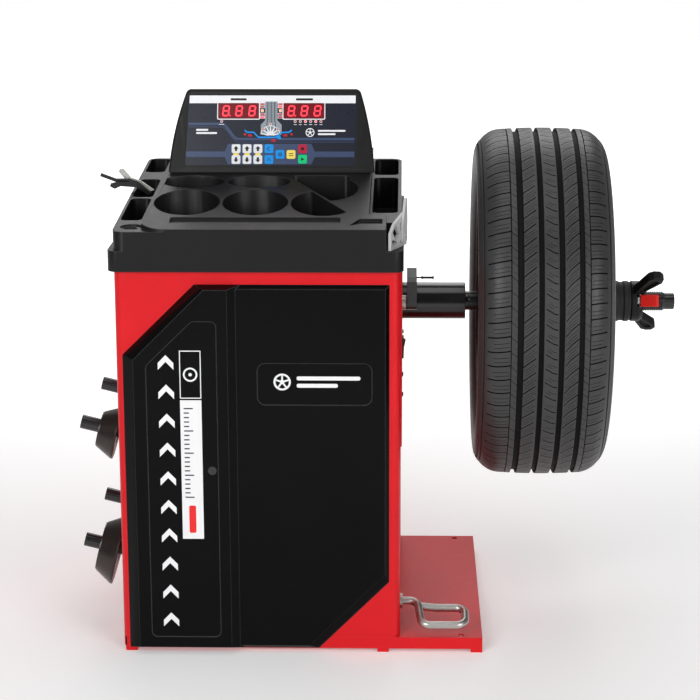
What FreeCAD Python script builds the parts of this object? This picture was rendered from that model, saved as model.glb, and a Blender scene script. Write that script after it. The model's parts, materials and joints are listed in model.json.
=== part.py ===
import FreeCAD, Part
import math
import os

os.makedirs("parts", exist_ok=True)
V = FreeCAD.Vector

# Wheel balancer, mm. Cabinet axes while modelling: x right, y back, z up, the cabinet's
# front left corner on the floor. export() moves every piece to the middle of the footprint.

# --- driving dimensions ---
CABINET_W = 492.0
CABINET_D = 566.0
CABINET_TOP = 700.0
CORNER_R = 14.0
SHEET = 2.0
PAN_TOP = 27.5
PAN_BOTTOM = 6.5
PAN_SHEET = 3.0
DECK_END = 638.5
ANCHOR_X = 601.0
ANCHOR_EDGE = 14.0
ANCHOR_R = 5.5

SPINDLE_Y = 282.3
SPINDLE_Z = 578.3
HOUSING_START = 318.0
HOUSING_END = 609.6
HOUSING_R = 33.5
SHAFT_R = 17.45
THREAD_R = 18.0
THREAD_ROOT_R = 16.7
THREAD_PITCH = 4.0
THREAD_START = 808.0
THREAD_END = 972.0
SHAFT_START = 240.0
SHAFT_END = 992.4
SHAFT_TIP_R = 15.2
SHAFT_TIP_LENGTH = 18.0
RUNNING_GAP = 0.05

WHEEL_MID = 742.5
TYRE_R = 317.0
TYRE_W = 235.0
HUB_FACE = 788.0
HUB_BORE_R = 33.4
BOLT_CIRCLE_R = 57.15
BOLT_COUNT = 5
SPOKE_COUNT = 10

CUP_START = 803.5
CUP_END = 911.0
NUT_END = 933.0
NUT_R = 37.0
WING_ANGLES = (45.0, 225.0)
LEVER_ANGLE = 13.0

PEG_TIP_X = -84.0
PEG_R = 12.5
PEG_TILT = 14.0
PEG_YS = (120.0, 395.0)
PEG_TIP_ZS = (390.0, 168.0)
CONE_BORE_R = 18.1

FACE_TILT = 17.0
SHEET_LEAN = 6.0
CONSOLE_LEFT = 71.3
CONSOLE_RIGHT = 443.5
CONSOLE_Y = 247.0
CONSOLE_Z = 821.0
CONSOLE_H = 153.0
CONSOLE_BACK = 352.0
MEMBRANE = (101.5, 13.0, 408.5, 141.5)
KEY_SIZE = 16.0
KEY_GAP = 0.35
KEY_TRAVEL = 0.8

GAUGE_Y = 220.0
GAUGE_Z = 588.0
GAUGE_ROD_R = 8.0
PEDAL_Y = 60.0
PEDAL_Z = 75.0
PEDAL_ROD_R = 7.0
LINK_Y = 100.0
BRAKE_PIVOT_Y = 380.0
BRAKE_ARM_Z = 470.0
MOTOR_Z = 330.0
PULLEY_R = 75.0
MOTOR_PULLEY_R = 25.0

MID_X = (SHAFT_END + PEG_TIP_X) / 2

# key centres on the console face: name, x, height up the face
KEYS = [("key_up_left", 193.5, 43.4), ("key_up_middle", 213.3, 43.4), ("key_up_right", 233.0, 43.4),
        ("key_down_left", 193.5, 23.6), ("key_down_middle", 213.3, 23.6), ("key_down_right", 233.0, 23.6),
        ("key_blue_upper", 253.0, 43.2), ("key_blue_lower", 253.0, 23.8), ("key_blue_right", 273.0, 33.0),
        ("key_yellow", 292.8, 33.0), ("key_stop", 313.6, 43.2), ("key_start", 313.6, 24.3)]


# --- helpers ---
def export(name, shape):
    """Write one node, moved so that the origin is under the middle of the whole machine."""
    moved = shape.copy()
    moved.translate(V(-MID_X, -SPINDLE_Y, 0))
    if not moved.Solids or not moved.isValid():
        raise ValueError("bad shape: " + name)
    moved.exportStep("parts/" + name + ".step")
    print(name, len(moved.Solids), "solids", round(moved.Volume / 1000, 1), "cm3")


def block(x0, y0, z0, x1, y1, z1):
    return Part.makeBox(x1 - x0, y1 - y0, z1 - z0, V(x0, y0, z0))


def bar(start, end, radius):
    """Round bar from one point to another."""
    along = end - start
    return Part.makeCylinder(radius, along.Length, start, along)


def prism(points, axis, low, high):
    """Polygon given in the two axes across `axis`, extruded along it from low to high."""
    put = {"x": lambda a, b: V(low, a, b),
           "y": lambda a, b: V(a, low, b),
           "z": lambda a, b: V(a, b, low)}[axis]
    corners = [put(a, b) for a, b in points]
    face = Part.Face(Part.makePolygon(corners + corners[:1]))
    return face.extrude({"x": V(1, 0, 0), "y": V(0, 1, 0), "z": V(0, 0, 1)}[axis] * (high - low))


def turned(points, y=SPINDLE_Y, z=SPINDLE_Z):
    """Profile of (x, radius) points turned about an axis along x."""
    corners = [V(x, y, z + r) for x, r in points]
    face = Part.Face(Part.makePolygon(corners + corners[:1]))
    return face.revolve(V(0, y, z), V(1, 0, 0), 360)


def ring(x0, x1, inner, outer, y=SPINDLE_Y, z=SPINDLE_Z):
    return turned([(x0, inner), (x0, outer), (x1, outer), (x1, inner)], y, z)


def around(shape, degrees, y=SPINDLE_Y, z=SPINDLE_Z):
    turned_copy = shape.copy()
    turned_copy.rotate(V(0, y, z), V(1, 0, 0), degrees)
    return turned_copy


def round_edges(shape, radius, chosen):
    """Fillet the edges that `chosen` accepts, each seen by its box and its direction."""
    edges = [e for e in shape.Edges if chosen(e)]
    return shape.makeFillet(radius, edges)


def upright(edge):
    box = edge.BoundBox
    return box.ZLength > 1 and box.XLength < 0.01 and box.YLength < 0.01


def fuse(shapes):
    return shapes[0].multiFuse(shapes[1:]).removeSplitter()


def on_face(shape):
    """Move a shape from console face axes (x, up the face, out of it) to cabinet axes."""
    placed = shape.copy()
    placed.Placement = FreeCAD.Placement(V(0, CONSOLE_Y, CONSOLE_Z),
                                         FreeCAD.Rotation(V(1, 0, 0), 90 - FACE_TILT))
    return placed


def rounded_tile(x0, y0, x1, y1, z0, z1, radius):
    return round_edges(block(x0, y0, z0, x1, y1, z1), radius, upright)


# --- cabinet and base ---
def cabinet_block(inset, bottom, top):
    """The cabinet's plan with rounded corners, as a solid `inset` inside its skin."""
    solid = block(inset, inset, bottom, CABINET_W - inset, CABINET_D - inset, top)
    return round_edges(solid, CORNER_R - inset, upright)


def cabinet_shell():
    shell = cabinet_block(0, PAN_TOP, CABINET_TOP)
    shell = shell.cut(cabinet_block(SHEET, PAN_TOP - 1, CABINET_TOP - SHEET))
    lip = 20
    openings = [block(lip, lip, CABINET_TOP - 5, CABINET_W - lip, CABINET_D - lip, CABINET_TOP + 1),
                block(40, CABINET_D - 5, 60, 452, CABINET_D + 1, 640),
                bar(V(480, SPINDLE_Y, SPINDLE_Z), V(500, SPINDLE_Y, SPINDLE_Z), HOUSING_R + 0.6),
                bar(V(480, GAUGE_Y, GAUGE_Z), V(500, GAUGE_Y, GAUGE_Z), 11),
                bar(V(480, PEDAL_Y, PEDAL_Z), V(500, PEDAL_Y, PEDAL_Z), 10),
                block(480, SWITCH_Y - 10, SWITCH_Z - 16, 500, SWITCH_Y + 10, SWITCH_Z + 16)]
    return shell.cut(Part.makeCompound(openings))


def rear_panel():
    panel = rounded_tile(28, 48, 464, 652, 0, SHEET, 8)
    panel.rotate(V(0, 0, 0), V(1, 0, 0), 90)
    panel.translate(V(0, CABINET_D + SHEET, 0))
    slots = []
    for row in range(8):
        z = 500 + row * 14
        slots.append(block(150, CABINET_D - 1, z, 342, CABINET_D + SHEET + 1, z + 5))
    slots.append(block(70, CABINET_D - 1, 92, 98, CABINET_D + SHEET + 1, 114))
    return panel.cut(Part.makeCompound(slots))


def base_pan():
    """Folded pan under the cabinet and the open deck: top plate, flanges and a return lip."""
    plan = block(0, 0, PAN_BOTTOM, DECK_END, CABINET_D, PAN_TOP)
    plan = round_edges(plan, CORNER_R, lambda e: upright(e) and e.BoundBox.XMin < 1)
    t = PAN_SHEET
    inside = block(t, t, PAN_BOTTOM + t, DECK_END - t, CABINET_D - t, PAN_TOP - t)
    mouth = block(34, 34, 0, DECK_END - 34, CABINET_D - 34, PAN_TOP - t)
    holes = [bar(V(ANCHOR_X, y, 0), V(ANCHOR_X, y, 40), ANCHOR_R)
             for y in (ANCHOR_EDGE, CABINET_D - ANCHOR_EDGE)]
    feet = []
    for x in (4, 452, DECK_END - 20.5):
        for y in (0, CABINET_D - 28):
            feet.append(block(x, y, 0, x + 20.5, y + 28, PAN_BOTTOM + 1))
    feet = Part.makeCompound(feet).common(block(0, 0, 0, DECK_END, CABINET_D, PAN_TOP))
    pan = plan.cut(inside.fuse(mouth)).fuse(feet).removeSplitter()
    return pan.cut(Part.makeCompound(holes))


# --- black front panel, pressed from sheet: a proud left side and a lower right side ---
PANEL_PROUD = 20.0
PANEL_LOW = 8.0
PANEL_SHEET = 3.0


def bevelled(base, top, depth, inset):
    """Solid between a base outline on the cabinet front and a smaller one `depth` in front."""
    def outline(points, y):
        corners = [V(x, y, z) for x, z in points]
        return Part.makePolygon(corners + corners[:1])

    def shrunk(points):
        middle_x = sum(x for x, z in points) / len(points)
        middle_z = sum(z for x, z in points) / len(points)
        return [(x + math.copysign(inset, middle_x - x), z + math.copysign(inset, middle_z - z))
                for x, z in points]
    back = outline(shrunk(base), inset and 1.0)
    front = outline(shrunk(top), -depth + inset)
    return Part.makeLoft([back, front], True, True)


def panel_form(inset):
    left = bevelled([(12, 7), (12, 543), (138, 667), (218, 667), (218, 7)],
                    [(32, 14), (32, 538), (155, 661), (195, 661), (195, 14)], PANEL_PROUD, inset)
    right_base = [(150, 7), (349, 7), (473, 131), (473, 667), (150, 667)]
    right_top = [(150, 14), (332, 14), (466, 148), (466, 660), (150, 660)]
    return left.fuse(bevelled(right_base, right_top, PANEL_LOW, inset)).removeSplitter()


def front_panel():
    panel = panel_form(0).cut(panel_form(PANEL_SHEET))
    badge = rounded_tile(245, 456, 443, 530, -1.4, 5, 14)
    text_field = prism([(54, 34), (54, 528), (134, 606), (176, 606), (176, 34)],
                       "y", -PANEL_PROUD - 1, -PANEL_PROUD + 1.2)
    text_field = round_edges(text_field, 10, lambda e: e.BoundBox.YLength > 1)
    badge.rotate(V(0, 0, 0), V(1, 0, 0), 90)
    badge.translate(V(0, -PANEL_LOW - 0.2, 0))
    lock_hole = bar(V(LOCK_X, -30, LOCK_Z), V(LOCK_X, 5, LOCK_Z), LOCK_R + 0.3)
    return panel.cut(badge).cut(text_field).cut(lock_hole)


LOCK_X = 165.6
LOCK_Z = 340.7
LOCK_R = 7.0


def panel_lock():
    """Round quarter-turn lock with a key slot and a tongue behind the panel."""
    barrel = bar(V(LOCK_X, -PANEL_PROUD - 0.4, LOCK_Z), V(LOCK_X, -2.5, LOCK_Z), LOCK_R)
    slot = block(LOCK_X - 0.8, -30, LOCK_Z - 4, LOCK_X + 0.8, -PANEL_PROUD + 2.5, LOCK_Z + 4)
    tongue = block(LOCK_X - 6, -5.5, LOCK_Z - 6, LOCK_X + 6, -2.5, LOCK_Z + 26)
    return barrel.fuse(tongue).cut(slot)


# --- right wall: cover plate, screws, power switch ---
SWITCH_Y = 40.0
SWITCH_Z = 549.0
COVER_X = CABINET_W + 2.5


def side_cover():
    """Flat plate over the right wall, with holes for the spindle housing, gauge rod and switch."""
    plate = round_edges(block(CABINET_W, 20, 372, COVER_X, 540, 684), 8,
                        lambda e: e.BoundBox.XLength > 1 and e.BoundBox.YLength < 0.01)
    holes = [bar(V(480, SPINDLE_Y, SPINDLE_Z), V(500, SPINDLE_Y, SPINDLE_Z), HOUSING_R + 1.5),
             bar(V(480, GAUGE_Y, GAUGE_Z), V(500, GAUGE_Y, GAUGE_Z), 11),
             block(480, SWITCH_Y - 10, SWITCH_Z - 16, 500, SWITCH_Y + 10, SWITCH_Z + 16)]
    return plate.cut(Part.makeCompound(holes))


def cover_screws():
    """Round-headed screws of the side cover, the wall and the rear panel."""
    screws = []
    for y in (40, 520):
        for z in (464, 500):
            screws.append(screw(V(COVER_X, y, z), V(1, 0, 0)))
    for x in (38, 454):
        for z in (58, 350, 642):
            screws.append(screw(V(x, CABINET_D + SHEET, z), V(0, 1, 0)))
    return Part.makeCompound(screws)


def screw(seat, out):
    """Pan head 8 mm across, 2.4 mm high, with a cross recess."""
    head = Part.makeCylinder(4.0, 2.4, seat, out)
    rim_edges = [e for e in head.Edges if (e.CenterOfMass - seat).dot(out) > 2 and e.Length > 20]
    head = head.makeFillet(1.2, rim_edges)
    side = V(0, 0, 1)
    across = out.cross(side)
    for direction in (side, across):
        slot = Part.makeBox(5, 0.9, 1.4)
        slot.Placement = FreeCAD.Placement(V(0, 0, 0), FreeCAD.Rotation(direction, out.cross(direction), out))
        slot.translate(seat + out * 1.4 - direction * 2.5 - out.cross(direction) * 0.45)
        head = head.cut(slot)
    return head


AXLE_R = 0.8


def switch_frame():
    frame = block(COVER_X, SWITCH_Y - 12, SWITCH_Z - 18, COVER_X + 3, SWITCH_Y + 12, SWITCH_Z + 18)
    frame = round_edges(frame, 0.8, lambda e: e.BoundBox.XMin > COVER_X + 2.9)
    body = block(COVER_X - 14, SWITCH_Y - 9.8, SWITCH_Z - 15.8, COVER_X, SWITCH_Y + 9.8, SWITCH_Z + 15.8)
    well = block(COVER_X - 12, SWITCH_Y - 8.5, SWITCH_Z - 14.8, COVER_X + 4, SWITCH_Y + 8.5, SWITCH_Z + 14.8)
    x = COVER_X + 2
    socket = bar(V(x, SWITCH_Y - 9.5, SWITCH_Z), V(x, SWITCH_Y + 9.5, SWITCH_Z), AXLE_R + 0.1)
    return frame.fuse(body).cut(well.fuse(socket)).removeSplitter()


def switch_rocker():
    """See-saw cap on an axle across the frame."""
    x = COVER_X
    z = SWITCH_Z
    profile = [(x - 3, z - 9), (x - 3, z + 9), (x + 1, z + 13), (x + 6, z + 13),
               (x + 3.4, z), (x + 3, z - 13), (x + 1, z - 13)]
    cap = prism(profile, "y", SWITCH_Y - 8, SWITCH_Y + 8)
    axle = bar(V(x + 2, SWITCH_Y - 9.3, z), V(x + 2, SWITCH_Y + 9.3, z), AXLE_R)
    return cap.fuse(axle)


def power_inlet():
    """Mains socket on the rear panel, a shrouded body with three blades."""
    y = CABINET_D + SHEET
    flange = rounded_tile(64, 86, 104, 120, 0, 3, 5)
    flange.rotate(V(0, 0, 0), V(1, 0, 0), 90)
    flange.translate(V(0, y + 3, 0))
    body = block(71, y - 20, 93, 97, y + 3, 113)
    well = block(73.5, y - 14, 95.5, 94.5, y + 5, 110.5)
    blades = [block(x - 0.8, y - 15, z - 2, x + 0.8, y - 2, z + 2)
              for x, z in ((78, 101), (84, 106), (90, 101))]
    return flange.fuse(body).cut(well).multiFuse(blades)


# --- moulded weight tray ---
SKIRT_BOTTOM = 690.0
SKIRT_TOP = 726.0
TRAY_WALL = 3.5
TRAY_BACK = 572.0
TRAY_FRONT = -9.0
WING_Z = 760.0
WING_SLOPE = 0.068
DECK_Z = 766.0
DECK_SLOPE = 0.22
DECK_BREAK_Y = 245.0
DECK_LEFT = 44.0
DECK_RIGHT = 437.0


def wing_top(y):
    return WING_Z + WING_SLOPE * y


def deck_top(y):
    return DECK_Z + DECK_SLOPE * min(y, DECK_BREAK_Y)


def above(line, drop, x0, x1):
    """Everything above a roof line of (y, z) points, lowered by drop."""
    roof = [(y, z - drop) for y, z in line]
    return prism(roof + [(roof[-1][0], 1000), (roof[0][0], 1000)], "x", x0, x1)


WING_LINE = [(-40, wing_top(-40)), (620, wing_top(620))]
DECK_LINE = [(-40, deck_top(-40)), (DECK_BREAK_Y, deck_top(DECK_BREAK_Y)), (620, deck_top(620))]


def tray_body(t):
    """The tray's outer form moved inwards by t on every side: skirt, side wings and raised deck."""
    bottom = SKIRT_BOTTOM - (1 if t else 0)
    skirt = block(-9.7 + t, TRAY_FRONT + t, bottom, 497 - t, TRAY_BACK - t, SKIRT_TOP - t)
    skirt = round_edges(skirt, 18 - t, upright)
    body = block(t, TRAY_FRONT + t, bottom, 492 - t, TRAY_BACK - 5 - t, 900)
    body = round_edges(body, 20 - t, upright).cut(above(WING_LINE, t, -50, 600))
    deck_plan = block(DECK_LEFT + t, TRAY_FRONT + t, bottom, DECK_RIGHT - t, TRAY_BACK - 5 - t, 900)
    deck_plan = round_edges(deck_plan, 46 - t,
                            lambda e: upright(e) and e.BoundBox.XMin < 100 and e.BoundBox.YMin < 100)
    lean = prism([(DECK_LEFT + t - 60, 690), (DECK_LEFT + t - 60, 950), (DECK_LEFT + t + 95, 950),
                  (DECK_LEFT + t, 760)], "y", -60, 640)
    band = block(400, TRAY_FRONT + t, bottom, NOTCH_X - t, 58 - t, 900)
    deck = deck_plan.cut(lean).fuse(band).cut(above(DECK_LINE, t, -50, 600))
    notch = block(NOTCH_X - t, TRAY_FRONT - 20, SKIRT_TOP - t, 520, NOTCH_BACK + t, 900)
    return skirt.fuse(body).fuse(deck).cut(notch).removeSplitter()


NOTCH_X = 467.0
NOTCH_BACK = 58.0
FRONT_POCKETS = [(118.0, 111.0), (237.5, 111.0), (357.0, 108.0)]
BACK_POCKETS = [(120.0, 206.0), (238.5, 206.0)]
POCKET_R = 57.5
RIDGE = [(296.0, 221.0), (397.0, 72.0)]


def pocket(cx, cy, rx, ry, floor, grow):
    """Round or oval pocket with an upright wall; `grow` widens it and lowers its floor."""
    major = max(rx, ry) + grow
    minor = min(rx, ry) + grow
    if major - minor < 0.01:
        edge = Part.Circle(V(cx, cy, floor - grow), V(0, 0, 1), major).toShape()
    else:
        edge = Part.Ellipse(V(cx, cy, floor - grow), major, minor).toShape()
    return Part.Face(Part.Wire([edge])).extrude(V(0, 0, 200))


def ridge_side(offset, behind):
    """Half space on one side of the diagonal ridge of the right-hand pockets."""
    (x0, y0), (x1, y1) = RIDGE
    along = V(x1 - x0, y1 - y0, 0).normalize()
    across = V(-along.y, along.x, 0) * (1 if behind else -1)
    start = V(x0, y0, 600) - along * 300 + across * offset
    corners = [start, start + along * 800, start + along * 800 + across * 500, start + across * 500]
    return Part.Face(Part.makePolygon(corners + corners[:1])).extrude(V(0, 0, 400))


def deck_pockets(grow):
    """Six weight pockets in the deck; the two on the right share a diagonal ridge."""
    tools = [pocket(x, y, POCKET_R, POCKET_R, 745, grow) for x, y in FRONT_POCKETS[:2]]
    tools += [pocket(x, y, 56, 29, 768, grow) for x, y in BACK_POCKETS]
    x, y = FRONT_POCKETS[2]
    tools.append(pocket(x, y, POCKET_R, POCKET_R, 745, grow).common(ridge_side(2 - grow, False)))
    big = pocket(358, 175, 58, 58, 758, grow)
    nook = rounded_tile(296 - grow, 150, 400, 235 + grow, 758 - grow, 950, 10)
    tools.append(big.fuse(nook).common(ridge_side(2 - grow, True)))
    return tools


WING_POCKETS = [(5.0, 72.0, 42.0, 234.0, 728.0), (5.0, 243.0, 42.0, 386.0, 732.0),
                (5.0, 445.0, 42.0, 560.0, 745.0),
                (441.0, 128.0, 486.0, 402.0, 728.0), (441.0, 424.0, 486.0, 558.0, 745.0)]


def wing_pockets(grow):
    return [rounded_tile(x0 - grow, y0 - grow, x1 + grow, y1 + grow, floor - grow, 950, 11 + grow)
            for x0, y0, x1, y1, floor in WING_POCKETS]


def tray_grooves():
    """Pen groove, short groove with its lead-in and the round tool rest on the left."""
    pen = rounded_tile(96, 19, 388, 44, 700, 950, 4)
    short = prism([(404, 9), (421, 38), (460, 38), (460, 17), (424, 17)], "z", 700, 950)
    grooves = pen.fuse(short).common(above(DECK_LINE, 5, 0, 600))
    rest = pocket(30, 27, 19, 19, 700, 0).common(above(WING_LINE, 3, -50, 600))
    rest_core = pocket(28, 27, 12, 12, 700, 0).common(above(WING_LINE, 6, -50, 600))
    return [grooves, rest.fuse(rest_core)]


def weight_tray():
    outer = tray_body(0)
    shell = outer.cut(tray_body(TRAY_WALL))
    cups = [tool.common(outer) for tool in deck_pockets(3) + wing_pockets(3)]
    seats = block(10, TRAY_FRONT + 2, 752, 470, 62, 900).common(outer)
    cups.append(seats)
    solid = shell.multiFuse(cups)
    ledge = block(2, 2, CABINET_TOP, CABINET_W - 2, CABINET_D - 2, CABINET_TOP + 3)
    ledge = ledge.cut(block(20, 20, 690, CABINET_W - 20, CABINET_D - 20, 720))
    webs = [block(x, 2, CABINET_TOP, x + 3, CABINET_D - 2, 722) for x in (60, 430)]
    solid = solid.multiFuse([ledge] + webs)
    return solid.cut(Part.makeCompound(deck_pockets(0) + wing_pockets(0) + tray_grooves()))


# --- console ---
def console_form(inset):
    """Console body leaning back, its sides curving in towards the top, moved inwards by inset."""
    top_h = CONSOLE_H - inset
    foot_left = CONSOLE_LEFT + inset
    foot_right = CONSOLE_RIGHT - inset
    top_left = V(104.5 + inset, top_h, -inset)
    top_right = V(416.5 - inset, top_h, -inset)
    left = Part.Arc(V(foot_left, 0, -inset), V(81.5 + inset, 73.6, -inset), top_left).toShape()
    top = Part.LineSegment(top_left, top_right).toShape()
    right = Part.Arc(top_right, V(435.5 - inset, 73.6, -inset), V(foot_right, 0, -inset)).toShape()
    foot = [V(foot_right, 0, -inset), V(foot_right, -40, -inset), V(foot_left, -40, -inset),
            V(foot_left, 0, -inset)]
    base = [Part.LineSegment(a, b).toShape() for a, b in zip(foot[:-1], foot[1:])]
    form = Part.Face(Part.Wire([left, top, right] + base)).extrude(V(0, 0, -140))
    form = round_edges(form, 11 - inset, lambda e: e.BoundBox.ZLength > 100 and e.BoundBox.YMin > top_h - 1)
    if not inset:
        form = round_edges(form, 5, lambda e: e.BoundBox.ZMax > -0.01 and e.BoundBox.ZLength < 0.01
                           and e.BoundBox.YMin > -1)
    room = block(0, 200, CONSOLE_Z + inset, 500, CONSOLE_BACK + (5 if inset else 0), 1000)
    return on_face(form).common(room)


def sheet_form(grow, low, high):
    """Outline of the printed sheet, narrower at the top left, as a plate from low to high."""
    x0, h0, x1, h1 = MEMBRANE
    outline = [(x0 - grow, h0 - grow), (x1 + grow, h0 - grow), (x1 + 2 + grow, h1 + grow),
               (x0 + SHEET_LEAN - grow, h1 + grow)]
    return round_edges(prism(outline, "z", low, high), 3, upright)


def console_housing():
    shell = console_form(0).cut(console_form(3.0))
    window = block(150, 92, -8, 360, 132, 1)
    return shell.cut(on_face(sheet_form(0.3, -2.0, 10))).cut(on_face(window))


def console_rear_cover():
    """Flat back of the console, set between its walls, with a row of vents."""
    slab = console_form(3.3).common(block(0, CONSOLE_BACK - 2.5, CONSOLE_Z + 4, 500, CONSOLE_BACK, 1000))
    vents = [block(150, CONSOLE_BACK - 5, z, 366, CONSOLE_BACK + 1, z + 4) for z in (850, 862, 874)]
    return slab.cut(Part.makeCompound(vents))


def membrane_panel():
    sheet = sheet_form(0, -2.0, -0.4)
    half = KEY_SIZE / 2 + KEY_GAP
    holes = [rounded_tile(x - half, h - half, x + half, h + half, -3, 1, 3) for name, x, h in KEYS]
    return on_face(sheet.cut(Part.makeCompound(holes)))


def console_key(x, h):
    half = KEY_SIZE / 2
    key = rounded_tile(x - half, h - half, x + half, h + half, -1.0, 0.5, 2.7)
    key = round_edges(key, 0.4, lambda e: e.BoundBox.ZMin > 0.49)
    return on_face(key)


def control_board():
    """Display board behind the face with two digit blocks and a processor."""
    board = block(120, 20, -24, 396, 136, -22.4)
    parts = [block(158, 96, -22.4, 237, 128, -9), block(276, 96, -22.4, 355, 128, -9),
             block(180, 48, -22.4, 206, 74, -19), block(260, 40, -22.4, 300, 60, -12),
             block(126, 24, -22.4, 146, 30, -14)]
    return on_face(fuse([board] + parts))


# --- spindle group ---
def spindle_housing():
    """Tube with bearing seats at both ends and a square plate bolted inside the right wall."""
    bearing_end = HOUSING_START + 16
    front_seat = HOUSING_END - 22
    tube = turned([(HOUSING_START, 31.05), (HOUSING_START, HOUSING_R), (HOUSING_END - 1, HOUSING_R),
                   (HOUSING_END, HOUSING_R - 1), (HOUSING_END, 18.6), (HOUSING_END - 6, 18.6),
                   (HOUSING_END - 6, 31.05), (front_seat, 31.05), (front_seat, 28), (bearing_end, 28),
                   (bearing_end, 31.05)])
    plate = block(480, SPINDLE_Y - 85, SPINDLE_Z - 100, 490, SPINDLE_Y + 85, SPINDLE_Z + 85)
    plate = plate.cut(bar(V(470, SPINDLE_Y, SPINDLE_Z), V(500, SPINDLE_Y, SPINDLE_Z), 30))
    plate = plate.cut(bar(V(470, GAUGE_Y, GAUGE_Z), V(500, GAUGE_Y, GAUGE_Z), 14))
    rib = prism([(480, SPINDLE_Z - 95), (480, SPINDLE_Z - 30), (400, SPINDLE_Z - 30)], "y",
                SPINDLE_Y - 4, SPINDLE_Y + 4)
    return fuse([tube, plate, rib])


def spindle_bearings():
    """Two sealed ball bearings, 35 x 62 x 14."""
    bearings = []
    for x in (HOUSING_START + 2, HOUSING_END - 21):
        body = turned([(x, 17.5), (x, 21), (x + 0.6, 21), (x + 0.6, 27), (x, 27), (x, 31), (x + 14, 31),
                       (x + 14, 27), (x + 13.4, 27), (x + 13.4, 21), (x + 14, 21), (x + 14, 17.5)])
        bearings.append(body)
    return Part.makeCompound(bearings)


def thread_profile():
    """Ring grooves at the thread's pitch."""
    points = []
    x = THREAD_START
    while x + THREAD_PITCH <= THREAD_END:
        points += [(x, THREAD_ROOT_R), (x + 1.0, THREAD_R), (x + 2.2, THREAD_R), (x + 3.2, THREAD_ROOT_R)]
        x += THREAD_PITCH
    return points


def spindle_shaft():
    tip = SHAFT_END - SHAFT_TIP_LENGTH
    profile = [(SHAFT_START, 0), (SHAFT_START, 12), (SHAFT_START + 1.5, 13.9), (HOUSING_START - 14, 13.9),
               (HOUSING_START - 14, 16), (HOUSING_START - 4, 16), (HOUSING_START - 4, SHAFT_R),
               (HOUSING_END + 6, SHAFT_R), (HOUSING_END + 8, THREAD_R), (756, THREAD_R),
               (THREAD_START - 4, THREAD_R)]
    profile += thread_profile()
    profile += [(THREAD_END, THREAD_ROOT_R), (tip, SHAFT_TIP_R), (SHAFT_END - 1.5, SHAFT_TIP_R),
                (SHAFT_END, SHAFT_TIP_R - 1.5), (SHAFT_END, 0)]
    return turned(profile)


PULLEY_X = 246.0
PULLEY_W = 24.0
DRUM_END = 288.0
DRUM_R = PULLEY_R + 3.0
PULLEY_BORE_R = 13.9


def spindle_pulley():
    """Flat belt pulley with rims, and a brake rim beside it."""
    x0 = PULLEY_X
    x1 = PULLEY_X + PULLEY_W
    return turned([(x0, PULLEY_BORE_R), (x0, 24), (x0 + 6, 24), (x0 + 6, 64), (x0, 64), (x0, DRUM_R),
                   (x0 + 1.5, DRUM_R), (x0 + 1.5, PULLEY_R), (x1 - 1.5, PULLEY_R), (x1 - 1.5, DRUM_R),
                   (DRUM_END, DRUM_R), (DRUM_END, 66), (x0 + 14, 66), (x0 + 14, 24), (x1, 24),
                   (x1, PULLEY_BORE_R)])


def encoder_disc():
    """Slotted disc that tells the spindle's angle."""
    disc = ring(292, 294, 13.9, 54)
    slots = [around(block(290, SPINDLE_Y - 1, SPINDLE_Z + 44, 296, SPINDLE_Y + 1, SPINDLE_Z + 51), i * 10)
             for i in range(36)]
    return disc.cut(Part.makeCompound(slots))


def motor_pulley():
    """Small pulley and the motor shaft it is keyed to."""
    x0 = PULLEY_X
    x1 = PULLEY_X + PULLEY_W
    return turned([(x0 - 4, 0), (x0 - 4, 6.95), (x0, 6.95), (x0, MOTOR_PULLEY_R + 3),
                   (x0 + 1.5, MOTOR_PULLEY_R + 3), (x0 + 1.5, MOTOR_PULLEY_R), (x1 - 1.5, MOTOR_PULLEY_R),
                   (x1 - 1.5, MOTOR_PULLEY_R + 3), (x1, MOTOR_PULLEY_R + 3), (x1, 12), (x1 + 2, 12),
                   (x1 + 2, 6.95), (330, 6.95), (330, 0)], z=MOTOR_Z)


def drive_motor():
    """Finned motor case with a bore for its shaft, on two upright plates from the pan."""
    case = ring(292, 300, 7, 50, z=MOTOR_Z)
    core = turned([(300, 7), (300, 46), (414, 46), (418, 40), (418, 0), (332, 0), (332, 7)], z=MOTOR_Z)
    fins = [ring(300 + i * 10, 304 + i * 10, 44, 50, z=MOTOR_Z) for i in range(11)]
    plates = [block(312, SPINDLE_Y + s * 50 - 2, PAN_TOP, 388, SPINDLE_Y + s * 50 + 2, MOTOR_Z + 12)
              for s in (-1, 1)]
    box = block(330, SPINDLE_Y - 26, MOTOR_Z + 40, 390, SPINDLE_Y + 26, MOTOR_Z + 66)
    return fuse([case, core] + fins + plates + [box])


def belt_outline(offset):
    """Closed loop round both pulleys, `offset` outside them."""
    top_r = PULLEY_R + offset
    low_r = MOTOR_PULLEY_R + offset
    lean = math.asin((top_r - low_r) / (SPINDLE_Z - MOTOR_Z))

    def touch(radius, z, side):
        return V(PULLEY_X + 2, SPINDLE_Y + side * radius * math.cos(lean), z - radius * math.sin(lean))
    top = Part.Arc(touch(top_r, SPINDLE_Z, 1), V(PULLEY_X + 2, SPINDLE_Y, SPINDLE_Z + top_r),
                   touch(top_r, SPINDLE_Z, -1)).toShape()
    down = Part.LineSegment(touch(top_r, SPINDLE_Z, -1), touch(low_r, MOTOR_Z, -1)).toShape()
    low = Part.Arc(touch(low_r, MOTOR_Z, -1), V(PULLEY_X + 2, SPINDLE_Y, MOTOR_Z - low_r),
                   touch(low_r, MOTOR_Z, 1)).toShape()
    up = Part.LineSegment(touch(low_r, MOTOR_Z, 1), touch(top_r, SPINDLE_Z, 1)).toShape()
    return Part.Face(Part.Wire([top, down, low, up]))


def drive_belt():
    width = V(PULLEY_W - 4, 0, 0)
    return belt_outline(2.8).extrude(width).cut(belt_outline(0.4).extrude(width))


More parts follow.
